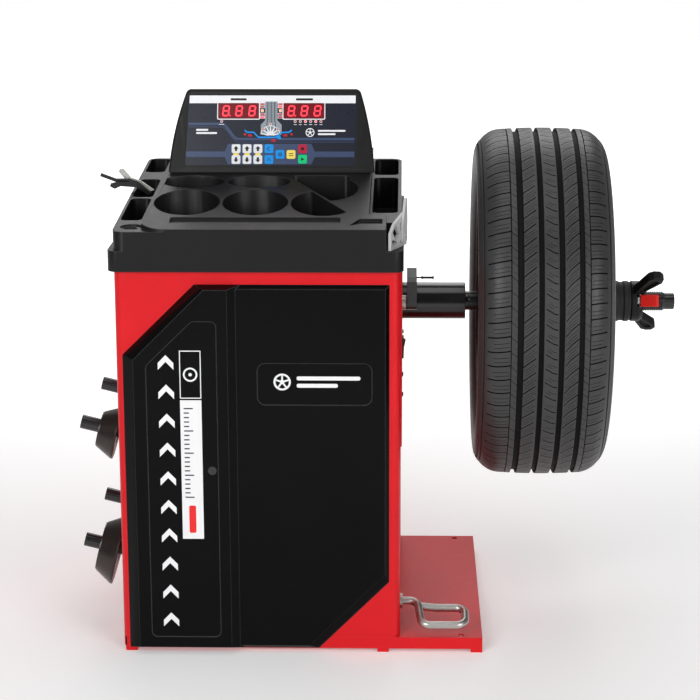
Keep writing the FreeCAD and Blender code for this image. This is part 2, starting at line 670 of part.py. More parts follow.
def backing_flange():
    """Flange behind the wheel: hub on the shaft, disc to the wheel's mounting face, spring recess."""
    hub = HUB_FACE - 44
    return turned([(hub, THREAD_R), (hub, 34), (hub + 22, 36), (hub + 26, 80), (HUB_FACE - 9, 86),
                   (HUB_FACE - 0.2, 86), (HUB_FACE - 0.2, 72), (HUB_FACE - 3, 70), (HUB_FACE - 3, 48),
                   (HUB_FACE - 16, 46), (HUB_FACE - 16, THREAD_R)])


def centering_cone():
    """Cone on the shaft that centres the wheel's hub bore."""
    slope_end = HUB_FACE + 16
    return turned([(HUB_FACE - 9, THREAD_R), (HUB_FACE - 9, 37.5), (HUB_FACE - 6, 37.5),
                   (HUB_FACE - 0.5, 33.2),
                   (HUB_FACE + 3, 31.6), (slope_end - 2, 24), (slope_end - 2, 22), (slope_end - 4, THREAD_R)])


def cone_spring():
    """Coil spring between the flange recess and the cone."""
    turns = 3
    start = HUB_FACE - 15.9
    length = 6.6
    wire_r = 1.0
    helix = Part.makeHelix((length - 2 * wire_r) / turns, length - 2 * wire_r, 30)
    section = Part.Wire([Part.Circle(V(30, 0, 0), V(0, 1, 0), wire_r).toShape()])
    coil = Part.Wire(helix.Edges).makePipeShell([section], True, True)
    coil.rotate(V(0, 0, 0), V(0, 1, 0), 90)
    coil.translate(V(start + wire_r, SPINDLE_Y, SPINDLE_Z))
    return coil


# --- wheel and tyre ---
HUB_PAD_T = 15.0
SLOT_HALF = 11.5
LEVER_PIN_R = 2.0


def mirrored(points):
    """Complete a half profile about the wheel's middle."""
    return points + [(2 * WHEEL_MID - x, r) for x, r in reversed(points)]


def wheel_rim():
    """Seventeen-inch alloy wheel: barrel with a drop centre, hub pad and ten spokes."""
    outer = [(637, 229), (637, 235.6), (640, 236.5), (646, 236.5), (646.2, 219.2), (670, 218.2), (688, 203),
             (716, 203), (740, 216), (815, 218.2), (838.8, 219.2), (839, 236.5), (845, 236.5), (848, 235.6),
             (848, 229)]
    inner = [(844, 229), (843, 214), (835, 211.5), (742, 209.5), (718, 197), (685, 197), (668, 212),
             (643, 212.5)]
    barrel = turned(outer + inner + [(641, 229)])
    pad_end = HUB_FACE + HUB_PAD_T
    pad = turned([(HUB_FACE, HUB_BORE_R), (HUB_FACE, 74), (HUB_FACE + 6, 78), (pad_end, 76),
                  (pad_end, HUB_BORE_R)])
    spoke_side = prism([(HUB_FACE + 2, SPINDLE_Z + 70), (pad_end, SPINDLE_Z + 70), (835, SPINDLE_Z + 190),
                        (840, SPINDLE_Z + 213), (806, SPINDLE_Z + 213), (806, SPINDLE_Z + 190)],
                       "y", SPINDLE_Y - 30, SPINDLE_Y + 30)
    spoke_front = prism([(SPINDLE_Y - 13, SPINDLE_Z + 66), (SPINDLE_Y + 13, SPINDLE_Z + 66),
                         (SPINDLE_Y + 17, SPINDLE_Z + 213), (SPINDLE_Y - 17, SPINDLE_Z + 213)],
                        "x", HUB_FACE - 8, 850)
    spoke = spoke_side.common(spoke_front)
    spoke = round_edges(spoke, 4, lambda e: e.BoundBox.YLength < 12 and e.BoundBox.ZLength > 100
                        and e.BoundBox.XMax > 830)
    spokes = [around(spoke, i * 360 / SPOKE_COUNT) for i in range(SPOKE_COUNT)]
    bolt_z = SPINDLE_Z + BOLT_CIRCLE_R
    bolt = bar(V(780, SPINDLE_Y, bolt_z), V(815, SPINDLE_Y, bolt_z), 7)
    bolts = [around(bolt, i * 360 / BOLT_COUNT + 18) for i in range(BOLT_COUNT)]
    valve_hole = bar(V(828, SPINDLE_Y, SPINDLE_Z + 200), V(812, SPINDLE_Y, SPINDLE_Z + 224), 5.7)
    wheel = barrel.multiFuse([pad] + spokes)
    return wheel.cut(Part.makeCompound(bolts)).cut(around(valve_hole, 18))


def valve_stem():
    """Snap-in rubber valve through the rim, with its cap."""
    start = V(812, SPINDLE_Y, SPINDLE_Z + 224)
    out = (V(828, SPINDLE_Y, SPINDLE_Z + 200) - start).normalize()
    stem = Part.makeCylinder(5.6, 16, start, out)
    neck = Part.makeCone(5.0, 3.6, 14, start + out * 16, out)
    cap = Part.makeCylinder(4.3, 9, start + out * 28, out)
    return around(fuse([stem, neck, cap]), 18)


GROOVE_XS = (-46.25, -11.0, 23.75, 58.0)
GROOVE_W = 9.0
GROOVE_DEPTH = 7.0


def tyre():
    """Tyre 235/45 R17 seated on the rim, with four grooves round the tread."""
    half = TYRE_W / 2
    bead = 96.0

    def at(side, x, r):
        return V(WHEEL_MID + side * x, SPINDLE_Y, SPINDLE_Z + r)

    def flank(side, x_low, r_low, x_mid, r_mid, x_top, r_top):
        return Part.Arc(at(side, x_low, r_low), at(side, x_mid, r_mid), at(side, x_top, r_top)).toShape()
    left = flank(-1, bead, 238, half, 268, 107, 296)
    left_shoulder = Part.Arc(at(-1, 107, 296), at(-1, 93, 309), at(-1, 72, 314.6)).toShape()
    crown = Part.Arc(at(-1, 72, 314.6), at(-1, 0, TYRE_R), at(1, 72, 314.6)).toShape()
    right_shoulder = Part.Arc(at(1, 72, 314.6), at(1, 93, 309), at(1, 107, 296)).toShape()
    right = Part.Arc(at(1, 107, 296), at(1, half, 268), at(1, bead, 238)).toShape()
    corners = [(bead, 238), (bead, 219.8), (79, 219.4), (81, 232)]

    def bead_lines(side, points):
        ends = [at(side, x, r) for x, r in points]
        return [Part.LineSegment(a, b).toShape() for a, b in zip(ends[:-1], ends[1:])]
    right_bead = bead_lines(1, corners)
    right_inside = Part.Arc(at(1, 81, 232), at(1, 107, 265), at(1, 88, 296)).toShape()
    roof = Part.Arc(at(1, 88, 296), at(1, 0, 303), at(-1, 88, 296)).toShape()
    left_inside = Part.Arc(at(-1, 88, 296), at(-1, 107, 265), at(-1, 81, 232)).toShape()
    left_bead = bead_lines(-1, corners[::-1])
    wire = Part.Wire([left, left_shoulder, crown, right_shoulder, right] + right_bead
                     + [right_inside, roof, left_inside] + left_bead)
    body = Part.Face(wire).revolve(V(0, SPINDLE_Y, SPINDLE_Z), V(1, 0, 0), 360)
    starts = [WHEEL_MID + x - GROOVE_W / 2 for x in GROOVE_XS]
    grooves = [ring(x, x + GROOVE_W, TYRE_R - GROOVE_DEPTH, TYRE_R + 5) for x in starts]
    return body.cut(Part.makeCompound(grooves))


# --- clamping nut and cup ---
def pressure_cup():
    """Bowl with a ribbed neck that presses the wheel on to the flange, and its rubber lip."""
    lip = CUP_START + 6
    bore = THREAD_R + 0.3
    bowl = turned([(lip, 58), (lip, 65), (CUP_START + 30, 62), (CUP_START + 56, 44), (CUP_START + 62, 38),
                   (CUP_END - 22, 37), (CUP_END - 20, 35.5), (CUP_END - 14, 35.5), (CUP_END - 11, 37),
                   (CUP_END - 4, 37), (CUP_END - 2, 35.5), (CUP_END, 35), (CUP_END, bore),
                   (CUP_START + 60, bore), (CUP_START + 56, 34), (CUP_START + 28, 54)])
    rubber = turned([(CUP_START, 59), (CUP_START, 64), (CUP_START + 2, 66.5), (CUP_START + 12, 66.5),
                     (CUP_START + 12, 65), (CUP_START + 6, 65), (CUP_START + 6, 58), (CUP_START + 2, 57)])
    return Part.makeCompound([bowl, rubber])


NUT_START = CUP_END + 0.4


def wing(angle):
    """Wing handle: a paddle that sweeps outwards, wider at the tip, with a sunk web."""
    outline = [(NUT_START + 0.5, 26), (NUT_START + 4, 40), (938, 84), (948, 89), (960, 88), (966, 80),
               (964, 70), (936, 41), (NUT_END - 1, 30)]
    plate = prism([(x, SPINDLE_Z + r) for x, r in outline], "y", SPINDLE_Y - 9, SPINDLE_Y + 9)
    plate = round_edges(plate, 4, lambda e: e.BoundBox.YLength < 0.01 and e.BoundBox.ZMax > SPINDLE_Z + 42)
    web = [(924, 44), (945, 78), (956, 78), (957, 72), (934, 46)]
    pockets = [prism([(x, SPINDLE_Z + r) for x, r in web], "y", SPINDLE_Y + low, SPINDLE_Y + high)
               for low, high in ((-10, -5), (5, 10))]
    return around(plate.cut(Part.makeCompound(pockets)), 180 - angle)


def quick_nut():
    """Round nut body on the thread with two wing handles and ears for the release lever."""
    bore = THREAD_R + RUNNING_GAP
    body = turned([(NUT_START, bore), (NUT_START, 35), (NUT_START + 2, NUT_R), (NUT_END - 6, NUT_R),
                   (NUT_END, NUT_R - 4), (NUT_END, bore)])
    body = body.multiFuse([wing(angle + 90) for angle in WING_ANGLES])
    slot = block(NUT_END - 12, SPINDLE_Y - SLOT_HALF, SPINDLE_Z + 26.5,
                 NUT_END + 40, SPINDLE_Y + SLOT_HALF, SPINDLE_Z + 60)
    body = body.cut(lever_place(slot))
    pin_hole = lever_pin(40, LEVER_PIN_R + RUNNING_GAP)
    return body.cut(lever_place(pin_hole).common(ring(NUT_START, NUT_END, 20, NUT_R + 1)))


def lever_place(shape):
    """Turn a shape from the top of the spindle to the release lever's place."""
    return around(shape, 90 - LEVER_ANGLE)


def lever_pin(reach, radius):
    """Round bar across the nut at the lever's pivot, before it is turned into place."""
    x = NUT_END - 6
    z = SPINDLE_Z + 31
    return bar(V(x, SPINDLE_Y - reach, z), V(x, SPINDLE_Y + reach, z), radius)


def nut_lever():
    """Release lever: steel tongue on a pin in the nut, with a finger pad."""
    tongue = block(NUT_END - 10, SPINDLE_Y - 6, SPINDLE_Z + 28, NUT_END + 4, SPINDLE_Y + 6, SPINDLE_Z + 33.5)
    return lever_place(tongue.fuse(lever_pin(13.5, LEVER_PIN_R)))


def lever_pad():
    """Red moulded finger pad on the release lever."""
    outline = [(-5, 33.6), (-5, 39), (22, 43), (27.5, 43), (27.5, 31), (4.1, 27), (4.1, 33.6)]
    side = prism([(NUT_END + x, SPINDLE_Z + z) for x, z in outline], "y", SPINDLE_Y - 11, SPINDLE_Y + 11)
    side = round_edges(side, 1.5, lambda e: e.BoundBox.YLength < 0.01)
    return lever_place(side)


# --- distance gauge ---
ROD_START = 298.0
ROD_END = 502.0
COLLAR_R = 12.0
COLLAR_W = 3.0
CARRIAGE_START = 306.0
CARRIAGE_W = 25.0


def gauge_bush():
    return ring(COVER_X, 500.5, GAUGE_ROD_R + RUNNING_GAP, 13.4, GAUGE_Y, GAUGE_Z).fuse(
        ring(478, COVER_X, GAUGE_ROD_R + RUNNING_GAP, 10.8, GAUGE_Y, GAUGE_Z)).removeSplitter()


def gauge_rod():
    """Rod through the side wall, with the two collars that carry the sliding block."""
    rod = turned([(ROD_START, 0), (ROD_START, GAUGE_ROD_R - 1), (ROD_START + 1, GAUGE_ROD_R),
                  (ROD_END, GAUGE_ROD_R), (ROD_END, 0)], GAUGE_Y, GAUGE_Z)
    collars = [ring(x, x + COLLAR_W, GAUGE_ROD_R, COLLAR_R, GAUGE_Y, GAUGE_Z)
               for x in (CARRIAGE_START - COLLAR_W - 0.5, CARRIAGE_START + CARRIAGE_W + 0.5)]
    return fuse([rod] + collars)


def gauge_carriage():
    """Sliding block on the gauge rod that moves the distance sensor."""
    end = CARRIAGE_START + CARRIAGE_W
    base = block(CARRIAGE_START, GAUGE_Y - 18, GAUGE_Z - 10, end, GAUGE_Y + 16, GAUGE_Z + 30)
    base = round_edges(base, 3, lambda e: e.BoundBox.XLength > 20)
    bore = bar(V(ROD_START, GAUGE_Y, GAUGE_Z), V(ROD_END, GAUGE_Y, GAUGE_Z), GAUGE_ROD_R + RUNNING_GAP)
    return base.cut(bore)


def gauge_arm():
    """Arm from the rod up and over the spindle housing to the measuring head."""
    profile = [(207, 588), (207, 628), (214, 636), (300, 636), (403, 607), (407, 600), (404, 590), (393, 588),
               (296, 621), (236, 621), (233, 617), (233, 588)]
    plate = prism(profile, "x", 502.6, 520.5)
    boss = ring(500.8, 520.5, 0.1, 13, GAUGE_Y, GAUGE_Z)
    core = bar(V(502.2, GAUGE_Y, GAUGE_Z), V(520.5, GAUGE_Y, GAUGE_Z), 10)
    arm = plate.multiFuse([boss, core]).removeSplitter()
    arm = arm.cut(bar(V(500, GAUGE_Y, GAUGE_Z), V(502.1, GAUGE_Y, GAUGE_Z), GAUGE_ROD_R + 0.1))
    return Part.makeCompound([arm, gauge_tip()])


def gauge_tip():
    """Weight holder spool on its pin at the end of the arm."""
    return turned([(520.5, 0), (520.5, 1.6), (530, 1.6), (530, 3.8), (531.5, 3.8), (532.5, 2.3), (551, 2.3),
                    (552, 3.8), (553.5, 3.8), (553.5, 0)], 396.0, 597.6)


# --- brake ---
def wire_rod(points, radius, bend):
    """Round bar bent at each inner point."""
    edges = []
    start = points[0]
    for before, corner, after in zip(points[:-2], points[1:-1], points[2:]):
        a = (before - corner).normalize()
        b = (after - corner).normalize()
        half = math.acos(max(-1.0, min(1.0, a.dot(b)))) / 2
        back = bend / math.tan(half)
        middle = corner + (a + b).normalize() * (bend / math.sin(half) - bend)
        edges.append(Part.LineSegment(start, corner + a * back).toShape())
        edges.append(Part.Arc(corner + a * back, middle, corner + b * back).toShape())
        start = corner + b * back
    edges.append(Part.LineSegment(start, points[-1]).toShape())
    path = Part.Wire(edges)
    heading = (points[1] - points[0]).normalize()
    section = Part.Wire([Part.Circle(points[0], heading, radius).toShape()])
    return path.makePipeShell([section], True, False)


LINK_X = 269.0
PEDAL_BACK_Y = 53.0
PEDAL_BACK_Z = 64.0


def brake_pedal():
    """Foot loop bent from one rod; the rod's inner end carries the crank of the brake link."""
    loop = wire_rod([V(262, PEDAL_Y, PEDAL_Z), V(523, PEDAL_Y, PEDAL_Z), V(531, 3, 50), V(608, 3, 50),
                     V(608, PEDAL_BACK_Y, PEDAL_BACK_Z), V(552, PEDAL_BACK_Y, PEDAL_BACK_Z)], PEDAL_ROD_R, 17)
    back = bar(V(556, PEDAL_BACK_Y, PEDAL_BACK_Z), V(527, PEDAL_BACK_Y, PEDAL_BACK_Z + 3), PEDAL_ROD_R)
    crank = block(276, PEDAL_Y - 12, PEDAL_Z - 9, 282, LINK_Y + 8, PEDAL_Z + 9)
    pin = bar(V(276, LINK_Y, PEDAL_Z), V(263, LINK_Y, PEDAL_Z), 4)
    return fuse([loop, back, crank, pin])


def pedal_brackets():
    """Wall bush and inner stand of the pedal rod, and the post of the brake arm."""
    wall_bush = ring(486, 496.5, PEDAL_ROD_R + RUNNING_GAP, 9.8, PEDAL_Y, PEDAL_Z)
    collar = ring(492, 496.5, PEDAL_ROD_R + RUNNING_GAP, 13, PEDAL_Y, PEDAL_Z)
    stand = block(292, PEDAL_Y - 16, PAN_TOP, 300, PEDAL_Y + 16, PEDAL_Z + 14)
    stand = stand.cut(bar(V(290, PEDAL_Y, PEDAL_Z), V(302, PEDAL_Y, PEDAL_Z), PEDAL_ROD_R + RUNNING_GAP))
    post = block(290, BRAKE_PIVOT_Y - 12, PAN_TOP, 298, BRAKE_PIVOT_Y + 12, BRAKE_ARM_Z + 12)
    pivot = bar(V(290, BRAKE_PIVOT_Y, BRAKE_ARM_Z), V(271, BRAKE_PIVOT_Y, BRAKE_ARM_Z), 5)
    return Part.makeCompound([wall_bush.fuse(collar).removeSplitter(), stand, post.fuse(pivot)])


def brake_link():
    """Push rod between the pedal crank and the brake arm, with an eye at each end."""
    eyes = [ring(LINK_X - 3, LINK_X + 3, 5.0, 9, LINK_Y, z) for z in (PEDAL_Z, BRAKE_ARM_Z)]
    rod = bar(V(LINK_X, LINK_Y, PEDAL_Z + 8), V(LINK_X, LINK_Y, BRAKE_ARM_Z - 8), 2.8)
    return fuse([rod] + eyes)


PAD_HALF = 13.0
PAD_GAP = 4.2


def brake_arm():
    """Lever under the brake rim, with its lining as a second solid."""
    arm = block(274, LINK_Y - 10, BRAKE_ARM_Z - 8, 287, BRAKE_PIVOT_Y + 12, BRAKE_ARM_Z + 8)
    pin = bar(V(274, LINK_Y, BRAKE_ARM_Z), V(263, LINK_Y, BRAKE_ARM_Z), 4)
    hole = bar(V(270, BRAKE_PIVOT_Y, BRAKE_ARM_Z), V(300, BRAKE_PIVOT_Y, BRAKE_ARM_Z), 5 + RUNNING_GAP)
    return Part.makeCompound([arm.fuse(pin).cut(hole), brake_pad()])


def brake_pad():
    """Lining on the brake arm, hollowed to the brake rim."""
    pad = block(274, SPINDLE_Y - PAD_HALF, BRAKE_ARM_Z + 8, 287, SPINDLE_Y + PAD_HALF, BRAKE_ARM_Z + 36)
    return pad.cut(bar(V(270, SPINDLE_Y, SPINDLE_Z), V(290, SPINDLE_Y, SPINDLE_Z), DRUM_R + PAD_GAP))


# --- storage pegs and spare cones on the left wall ---
PEG_OUT = V(-math.cos(math.radians(PEG_TILT)), 0, math.sin(math.radians(PEG_TILT)))
PEG_UP = V(math.sin(math.radians(PEG_TILT)), 0, math.cos(math.radians(PEG_TILT)))
PEG_LENGTH = (-PEG_TIP_X - PEG_R * math.sin(math.radians(PEG_TILT))) / math.cos(math.radians(PEG_TILT))


def peg_root(y, tip_z):
    return V(0, y, tip_z) - V(0, 0, 1) * PEG_LENGTH * math.sin(math.radians(PEG_TILT))


def storage_pegs():
    pegs = []
    for tip_z in PEG_TIP_ZS:
        for y in PEG_YS:
            root = peg_root(y, tip_z)
            peg = Part.makeCylinder(PEG_R, PEG_LENGTH + 6, root - PEG_OUT * 6, PEG_OUT)
            tip = root + PEG_OUT * PEG_LENGTH
            peg = peg.makeFillet(1.0, [e for e in peg.Edges if (e.CenterOfMass - tip).Length < 1])
            pegs.append(peg.cut(block(0, 0, 0, 60, CABINET_D, 600)))
    return Part.makeCompound(pegs)


def storage_cone(tip_z, start, length, wide_r, narrow_r):
    """Centring cone hanging by its bore on a front peg, its wide end towards the wall."""
    drop = CONE_BORE_R - PEG_R - 0.1
    centre = peg_root(PEG_YS[0], tip_z) + PEG_OUT * start - PEG_UP * drop
    points = [(0, CONE_BORE_R), (0, wide_r - 1), (1, wide_r), (4, wide_r), (length - 2, narrow_r + 1.5),
              (length - 2, narrow_r + 0.5), (length, narrow_r), (length, CONE_BORE_R)]
    corners = [centre + PEG_OUT * x + PEG_UP * r for x, r in points]
    face = Part.Face(Part.makePolygon(corners + corners[:1]))
    return face.revolve(centre, PEG_OUT, 360)


# --- loose tools kept on the tray ---
CALIPER_FRONT = V(470.5, -3, 0)
CALIPER_BACK = V(499.0, 66, 0)


def caliper_plate(points, offset, thick):
    """Plate standing on its edge from the notch's front to its back, points as (along, z)."""
    along = V(CALIPER_BACK.x - CALIPER_FRONT.x, CALIPER_BACK.y - CALIPER_FRONT.y, 0).normalize()
    side = V(along.y, -along.x, 0)
    corners = [CALIPER_FRONT + along * s + side * offset + V(0, 0, z) for s, z in points]
    return Part.Face(Part.makePolygon(corners + corners[:1])).extrude(side * thick)


def caliper_body():
    body = caliper_plate([(0, 726.5), (0, 756), (16, 770), (58, 784), (70, 784), (70, 726.5)], 0, 5)
    window = caliper_plate([(8, 757), (22, 768), (36, 750), (22, 740)], -1, 8)
    corner = caliper_plate([(6, 731), (6, 745), (28, 738)], -1, 8)
    rear = caliper_plate([(42, 733), (42, 768), (64, 774), (64, 733)], -1, 8)
    pivot = caliper_pin(2.4, -1, 11.5)
    web = caliper_plate([(40, 738), (40, 752), (66, 752), (66, 738)], -1, 8)
    return body.cut(Part.makeCompound([window, corner])).cut(rear.cut(web)).fuse(pivot)


def caliper_pin(radius, low, high):
    along = V(CALIPER_BACK.x - CALIPER_FRONT.x, CALIPER_BACK.y - CALIPER_FRONT.y, 0).normalize()
    side = V(along.y, -along.x, 0)
    foot = CALIPER_FRONT + along * CALIPER_PIVOT[0] + V(0, 0, CALIPER_PIVOT[1])
    return bar(foot + side * low, foot + side * high, radius)


CALIPER_PIVOT = (53.0, 745.0)


def caliper_jaw():
    """Pointed arm riveted to the caliper body."""
    s, z = CALIPER_PIVOT
    jaw = caliper_plate([(s - 9, z - 10), (s - 10, z + 18), (s + 2, z + 62), (s + 8, z + 64), (s + 10, z + 30),
                         (s + 9, z - 10)], 5.4, 4)
    return jaw.cut(caliper_pin(2.45, 4, 12))


PLIERS_Y = 300.0
PLIERS_PIVOT = (-8.0, 796.0)


PLIERS_PIN_R = 3.0


def pliers_pin(start, end, radius):
    """Round bar along the pliers' pivot, from start to end measured from their middle plane."""
    x, z = PLIERS_PIVOT
    return bar(V(x, PLIERS_Y + start, z), V(x, PLIERS_Y + end, z), radius)


def pliers_body():
    """Lower half: hammer head with a hooked end, jaw in the pocket and gripped handle."""
    head = prism([(-42, 788), (-33, 783), (-22, 788), (6, 786), (30, 772), (34, 776), (10, 797), (-8, 803),
                  (-24, 797), (-40, 793)], "y", PLIERS_Y - 6, PLIERS_Y - 0.3)
    grip = [V(-8, PLIERS_Y - 4, 799), V(-30, PLIERS_Y - 10, 800), V(-57, PLIERS_Y - 14, 811)]
    handle = wire_rod(grip, 3.4, 12)
    pin = pliers_pin(-6, 6.4, PLIERS_PIN_R)
    return fuse([head, handle, pin])


def pliers_lever():
    """Upper half: curved jaw and the bright steel handle."""
    jaw = prism([(-13, 792), (-14, 800), (-26, 814), (-24, 818), (-18, 819), (-4, 803), (14, 797),
                 (38, 780), (34, 778), (8, 790), (-4, 789)], "y", PLIERS_Y + 0.3, PLIERS_Y + 6)
    return jaw.cut(pliers_pin(0, 10, PLIERS_PIN_R + RUNNING_GAP))


# --- write every node ---
NODES = {
    "cabinet_shell": cabinet_shell,
    "rear_panel": rear_panel,
    "base_pan": base_pan,
    "front_panel": front_panel,
    "panel_lock": panel_lock,
    "side_cover": side_cover,
    "cover_screws": cover_screws,
    "switch_frame": switch_frame,
    "switch_rocker": switch_rocker,
    "power_inlet": power_inlet,
    "weight_tray": weight_tray,
    "console_housing": console_housing,
    "console_rear_cover": console_rear_cover,
    "membrane_panel": membrane_panel,
    "control_board": control_board,
    "spindle_housing": spindle_housing,
    "spindle_bearings": spindle_bearings,
    "spindle_shaft": spindle_shaft,
    "spindle_pulley": spindle_pulley,
    "encoder_disc": encoder_disc,
    "motor_pulley": motor_pulley,
    "drive_motor": drive_motor,
    "drive_belt": drive_belt,
    "backing_flange": backing_flange,
    "centering_cone": centering_cone,
    "cone_spring": cone_spring,
    "wheel_rim": wheel_rim,
    "valve_stem": valve_stem,
    "tyre": tyre,
    "pressure_cup": pressure_cup,
    "quick_nut": quick_nut,
    "nut_lever": nut_lever,
    "lever_pad": lever_pad,
    "gauge_bush": gauge_bush,
    "gauge_rod": gauge_rod,
    "gauge_carriage": gauge_carriage,
    "gauge_arm": gauge_arm,
    "brake_pedal": brake_pedal,
    "pedal_brackets": pedal_brackets,
    "brake_link": brake_link,
    "brake_arm": brake_arm,
    "storage_pegs": storage_pegs,
    "cone_medium": lambda: storage_cone(PEG_TIP_ZS[0], 14.0, 35.0, 47.5, 31.0),
    "cone_large": lambda: storage_cone(PEG_TIP_ZS[1], 17.0, 36.0, 63.0, 43.5),
    "caliper_body": caliper_body,
    "caliper_jaw": caliper_jaw,
    "pliers_body": pliers_body,
    "pliers_lever": pliers_lever,
}

for node, make in NODES.items():
    export(node, make())
for node, key_x, key_h in KEYS:
    export(node, console_key(key_x, key_h))
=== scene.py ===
import json
import math

import bpy
from mathutils import Matrix, Vector
from mathutils.bvhtree import BVHTree


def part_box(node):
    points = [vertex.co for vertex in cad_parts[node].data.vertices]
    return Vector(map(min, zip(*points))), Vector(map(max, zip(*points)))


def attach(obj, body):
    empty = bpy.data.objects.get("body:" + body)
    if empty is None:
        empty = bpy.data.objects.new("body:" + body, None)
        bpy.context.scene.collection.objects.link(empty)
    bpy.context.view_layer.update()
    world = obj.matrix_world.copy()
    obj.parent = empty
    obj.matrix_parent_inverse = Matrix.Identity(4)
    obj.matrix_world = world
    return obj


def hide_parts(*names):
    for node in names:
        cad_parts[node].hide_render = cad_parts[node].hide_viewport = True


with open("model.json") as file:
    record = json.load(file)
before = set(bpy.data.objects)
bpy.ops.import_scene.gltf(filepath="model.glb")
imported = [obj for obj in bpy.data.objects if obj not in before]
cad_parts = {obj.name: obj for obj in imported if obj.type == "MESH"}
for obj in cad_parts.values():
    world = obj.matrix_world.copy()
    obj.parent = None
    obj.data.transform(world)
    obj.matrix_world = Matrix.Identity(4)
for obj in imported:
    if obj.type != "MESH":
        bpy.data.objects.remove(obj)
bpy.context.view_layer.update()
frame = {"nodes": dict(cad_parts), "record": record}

NODES = frame["nodes"]
MM = 0.001


# --- camera, floor and light ---
CAMERA_PLACE = Vector((0.0460, -3.8876, 1.4301))
CAMERA_YAW = 1.513
CAMERA_DOWN = 13.676
CAMERA_ROLL = 0.166
LENS_MM = 111.03
WORLD_DIM = 0.13
WORLD_BRIGHT = 0.30
FLOOR_HALF = 40.0
GLOW_NEAR = 0.20
GLOW_FAR = 0.85


def make_camera():
    camera = bpy.data.objects.new("camera", bpy.data.cameras.new("camera"))
    bpy.context.collection.objects.link(camera)
    camera.data.lens = LENS_MM
    camera.data.sensor_width = 36.0
    camera.data.clip_end = 60.0
    camera.location = CAMERA_PLACE
    turn = Matrix.Rotation(math.radians(CAMERA_YAW), 4, "Z")
    tilt = Matrix.Rotation(math.radians(90.0 - CAMERA_DOWN), 4, "X")
    roll = Matrix.Rotation(math.radians(-CAMERA_ROLL), 4, "Z")
    camera.rotation_euler = (turn @ tilt @ roll).to_euler()
    bpy.context.scene.camera = camera


def area_light(name, place, aim, size, power):
    light = bpy.data.lights.new(name, "AREA")
    light.shape = "SQUARE"
    light.size = size
    light.energy = power
    lamp = bpy.data.objects.new(name, light)
    bpy.context.collection.objects.link(lamp)
    lamp.location = place
    lamp.rotation_euler = (Vector(aim) - Vector(place)).to_track_quat("-Z", "Y").to_euler()


def make_stage():
    mesh = bpy.data.meshes.new("floor")
    half = FLOOR_HALF
    corners = [(-half, -half, 0), (half, -half, 0), (half, half, 0), (-half, half, 0)]
    mesh.from_pydata(corners, [], [(0, 1, 2, 3)])
    floor = bpy.data.objects.new("floor", mesh)
    bpy.context.collection.objects.link(floor)
    floor.data.materials.append(MATERIALS["floor"])
    make_world()
    area_light("key_light", (-1.7, -3.2, 1.9), (0, 0, 0.5), 1.8, 70)
    area_light("fill_light", (2.2, -3.2, 1.5), (0.1, 0, 0.5), 1.8, 56)
    area_light("top_light", (0.1, -0.4, 3.0), (0, 0, 0.6), 1.6, 15)
    area_light("floor_light", (0.0, 4.2, 3.6), (0, 3.0, 0), 4.0, 120)
    bpy.context.scene.view_settings.view_transform = "Standard"


def make_world():
    """Pale studio: dim all round, and bright on the side behind the object."""
    world = bpy.data.worlds.new("studio")
    bpy.context.scene.world = world
    world.use_nodes = True
    tree = world.node_tree
    background = tree.nodes["Background"]
    background.inputs["Color"].default_value = (1.0, 1.0, 1.0, 1.0)
    place = tree.nodes.new("ShaderNodeTexCoord")
    split = tree.nodes.new("ShaderNodeSeparateXYZ")
    span = tree.nodes.new("ShaderNodeMapRange")
    span.interpolation_type = "SMOOTHSTEP"
    ends = (("From Min", 0.35), ("From Max", 0.85), ("To Min", WORLD_DIM), ("To Max", WORLD_BRIGHT))
    for name, value in ends:
        span.inputs[name].default_value = value
    tree.links.new(place.outputs["Generated"], split.inputs["Vector"])
    tree.links.new(split.outputs["Y"], span.inputs["Value"])
    tree.links.new(span.outputs["Result"], background.inputs["Strength"])


# --- materials ---
MATERIALS = {}


class Nodes:
    """Short way to write a material's node tree."""

    def __init__(self, name):
        self.material = bpy.data.materials.new(name)
        self.material.use_nodes = True
        self.tree = self.material.node_tree
        self.tree.nodes.clear()
        self.output = self.add("ShaderNodeOutputMaterial")
        self.shader = self.add("ShaderNodeBsdfPrincipled")
        self.link(self.shader, "BSDF", self.output, "Surface")
        self.place = self.add("ShaderNodeTexCoord")
        MATERIALS[name] = self.material

    def add(self, kind, **settings):
        node = self.tree.nodes.new(kind)
        for key, value in settings.items():
            setattr(node, key, value)
        return node

    def link(self, a, output, b, entry):
        self.tree.links.new(a.outputs[output], b.inputs[entry])

    def set(self, **values):
        names = {"metal": "Metallic", "specular": "Specular IOR Level", "glow": "Emission Strength",
                 "glow_colour": "Emission Color"}
        for key, value in values.items():
            self.shader.inputs[names[key]].default_value = value

    def noise(self, scale, detail=3.0, rough=0.55):
        node = self.add("ShaderNodeTexNoise")
        node.inputs["Scale"].default_value = scale
        node.inputs["Detail"].default_value = detail
        node.inputs["Roughness"].default_value = rough
        self.link(self.place, "Object", node, "Vector")
        return node

    def spread(self, source, output, low, high, entry):
        """Map a 0 to 1 value to low..high and feed it to the shader."""
        node = self.add("ShaderNodeMapRange")
        node.inputs["To Min"].default_value = low
        node.inputs["To Max"].default_value = high
        self.link(source, output, node, "Value")
        self.link(node, "Result", self.shader, entry)
        return node

    def bump(self, source, output, strength, distance, under=None):
        node = self.add("ShaderNodeBump")
        node.inputs["Strength"].default_value = strength
        node.inputs["Distance"].default_value = distance
        self.link(source, output, node, "Height")
        if under:
            self.link(under, "Normal", node, "Normal")
        self.link(node, "Normal", self.shader, "Normal")
        return node

    def mix_colour(self, fac, fac_output, dark, light):
        node = self.add("ShaderNodeMix", data_type="RGBA")
        self.link(fac, fac_output, node, 0)
        node.inputs[6].default_value = dark
        node.inputs[7].default_value = light
        return node


def rgb(r, g, b):
    return (r, g, b, 1.0)


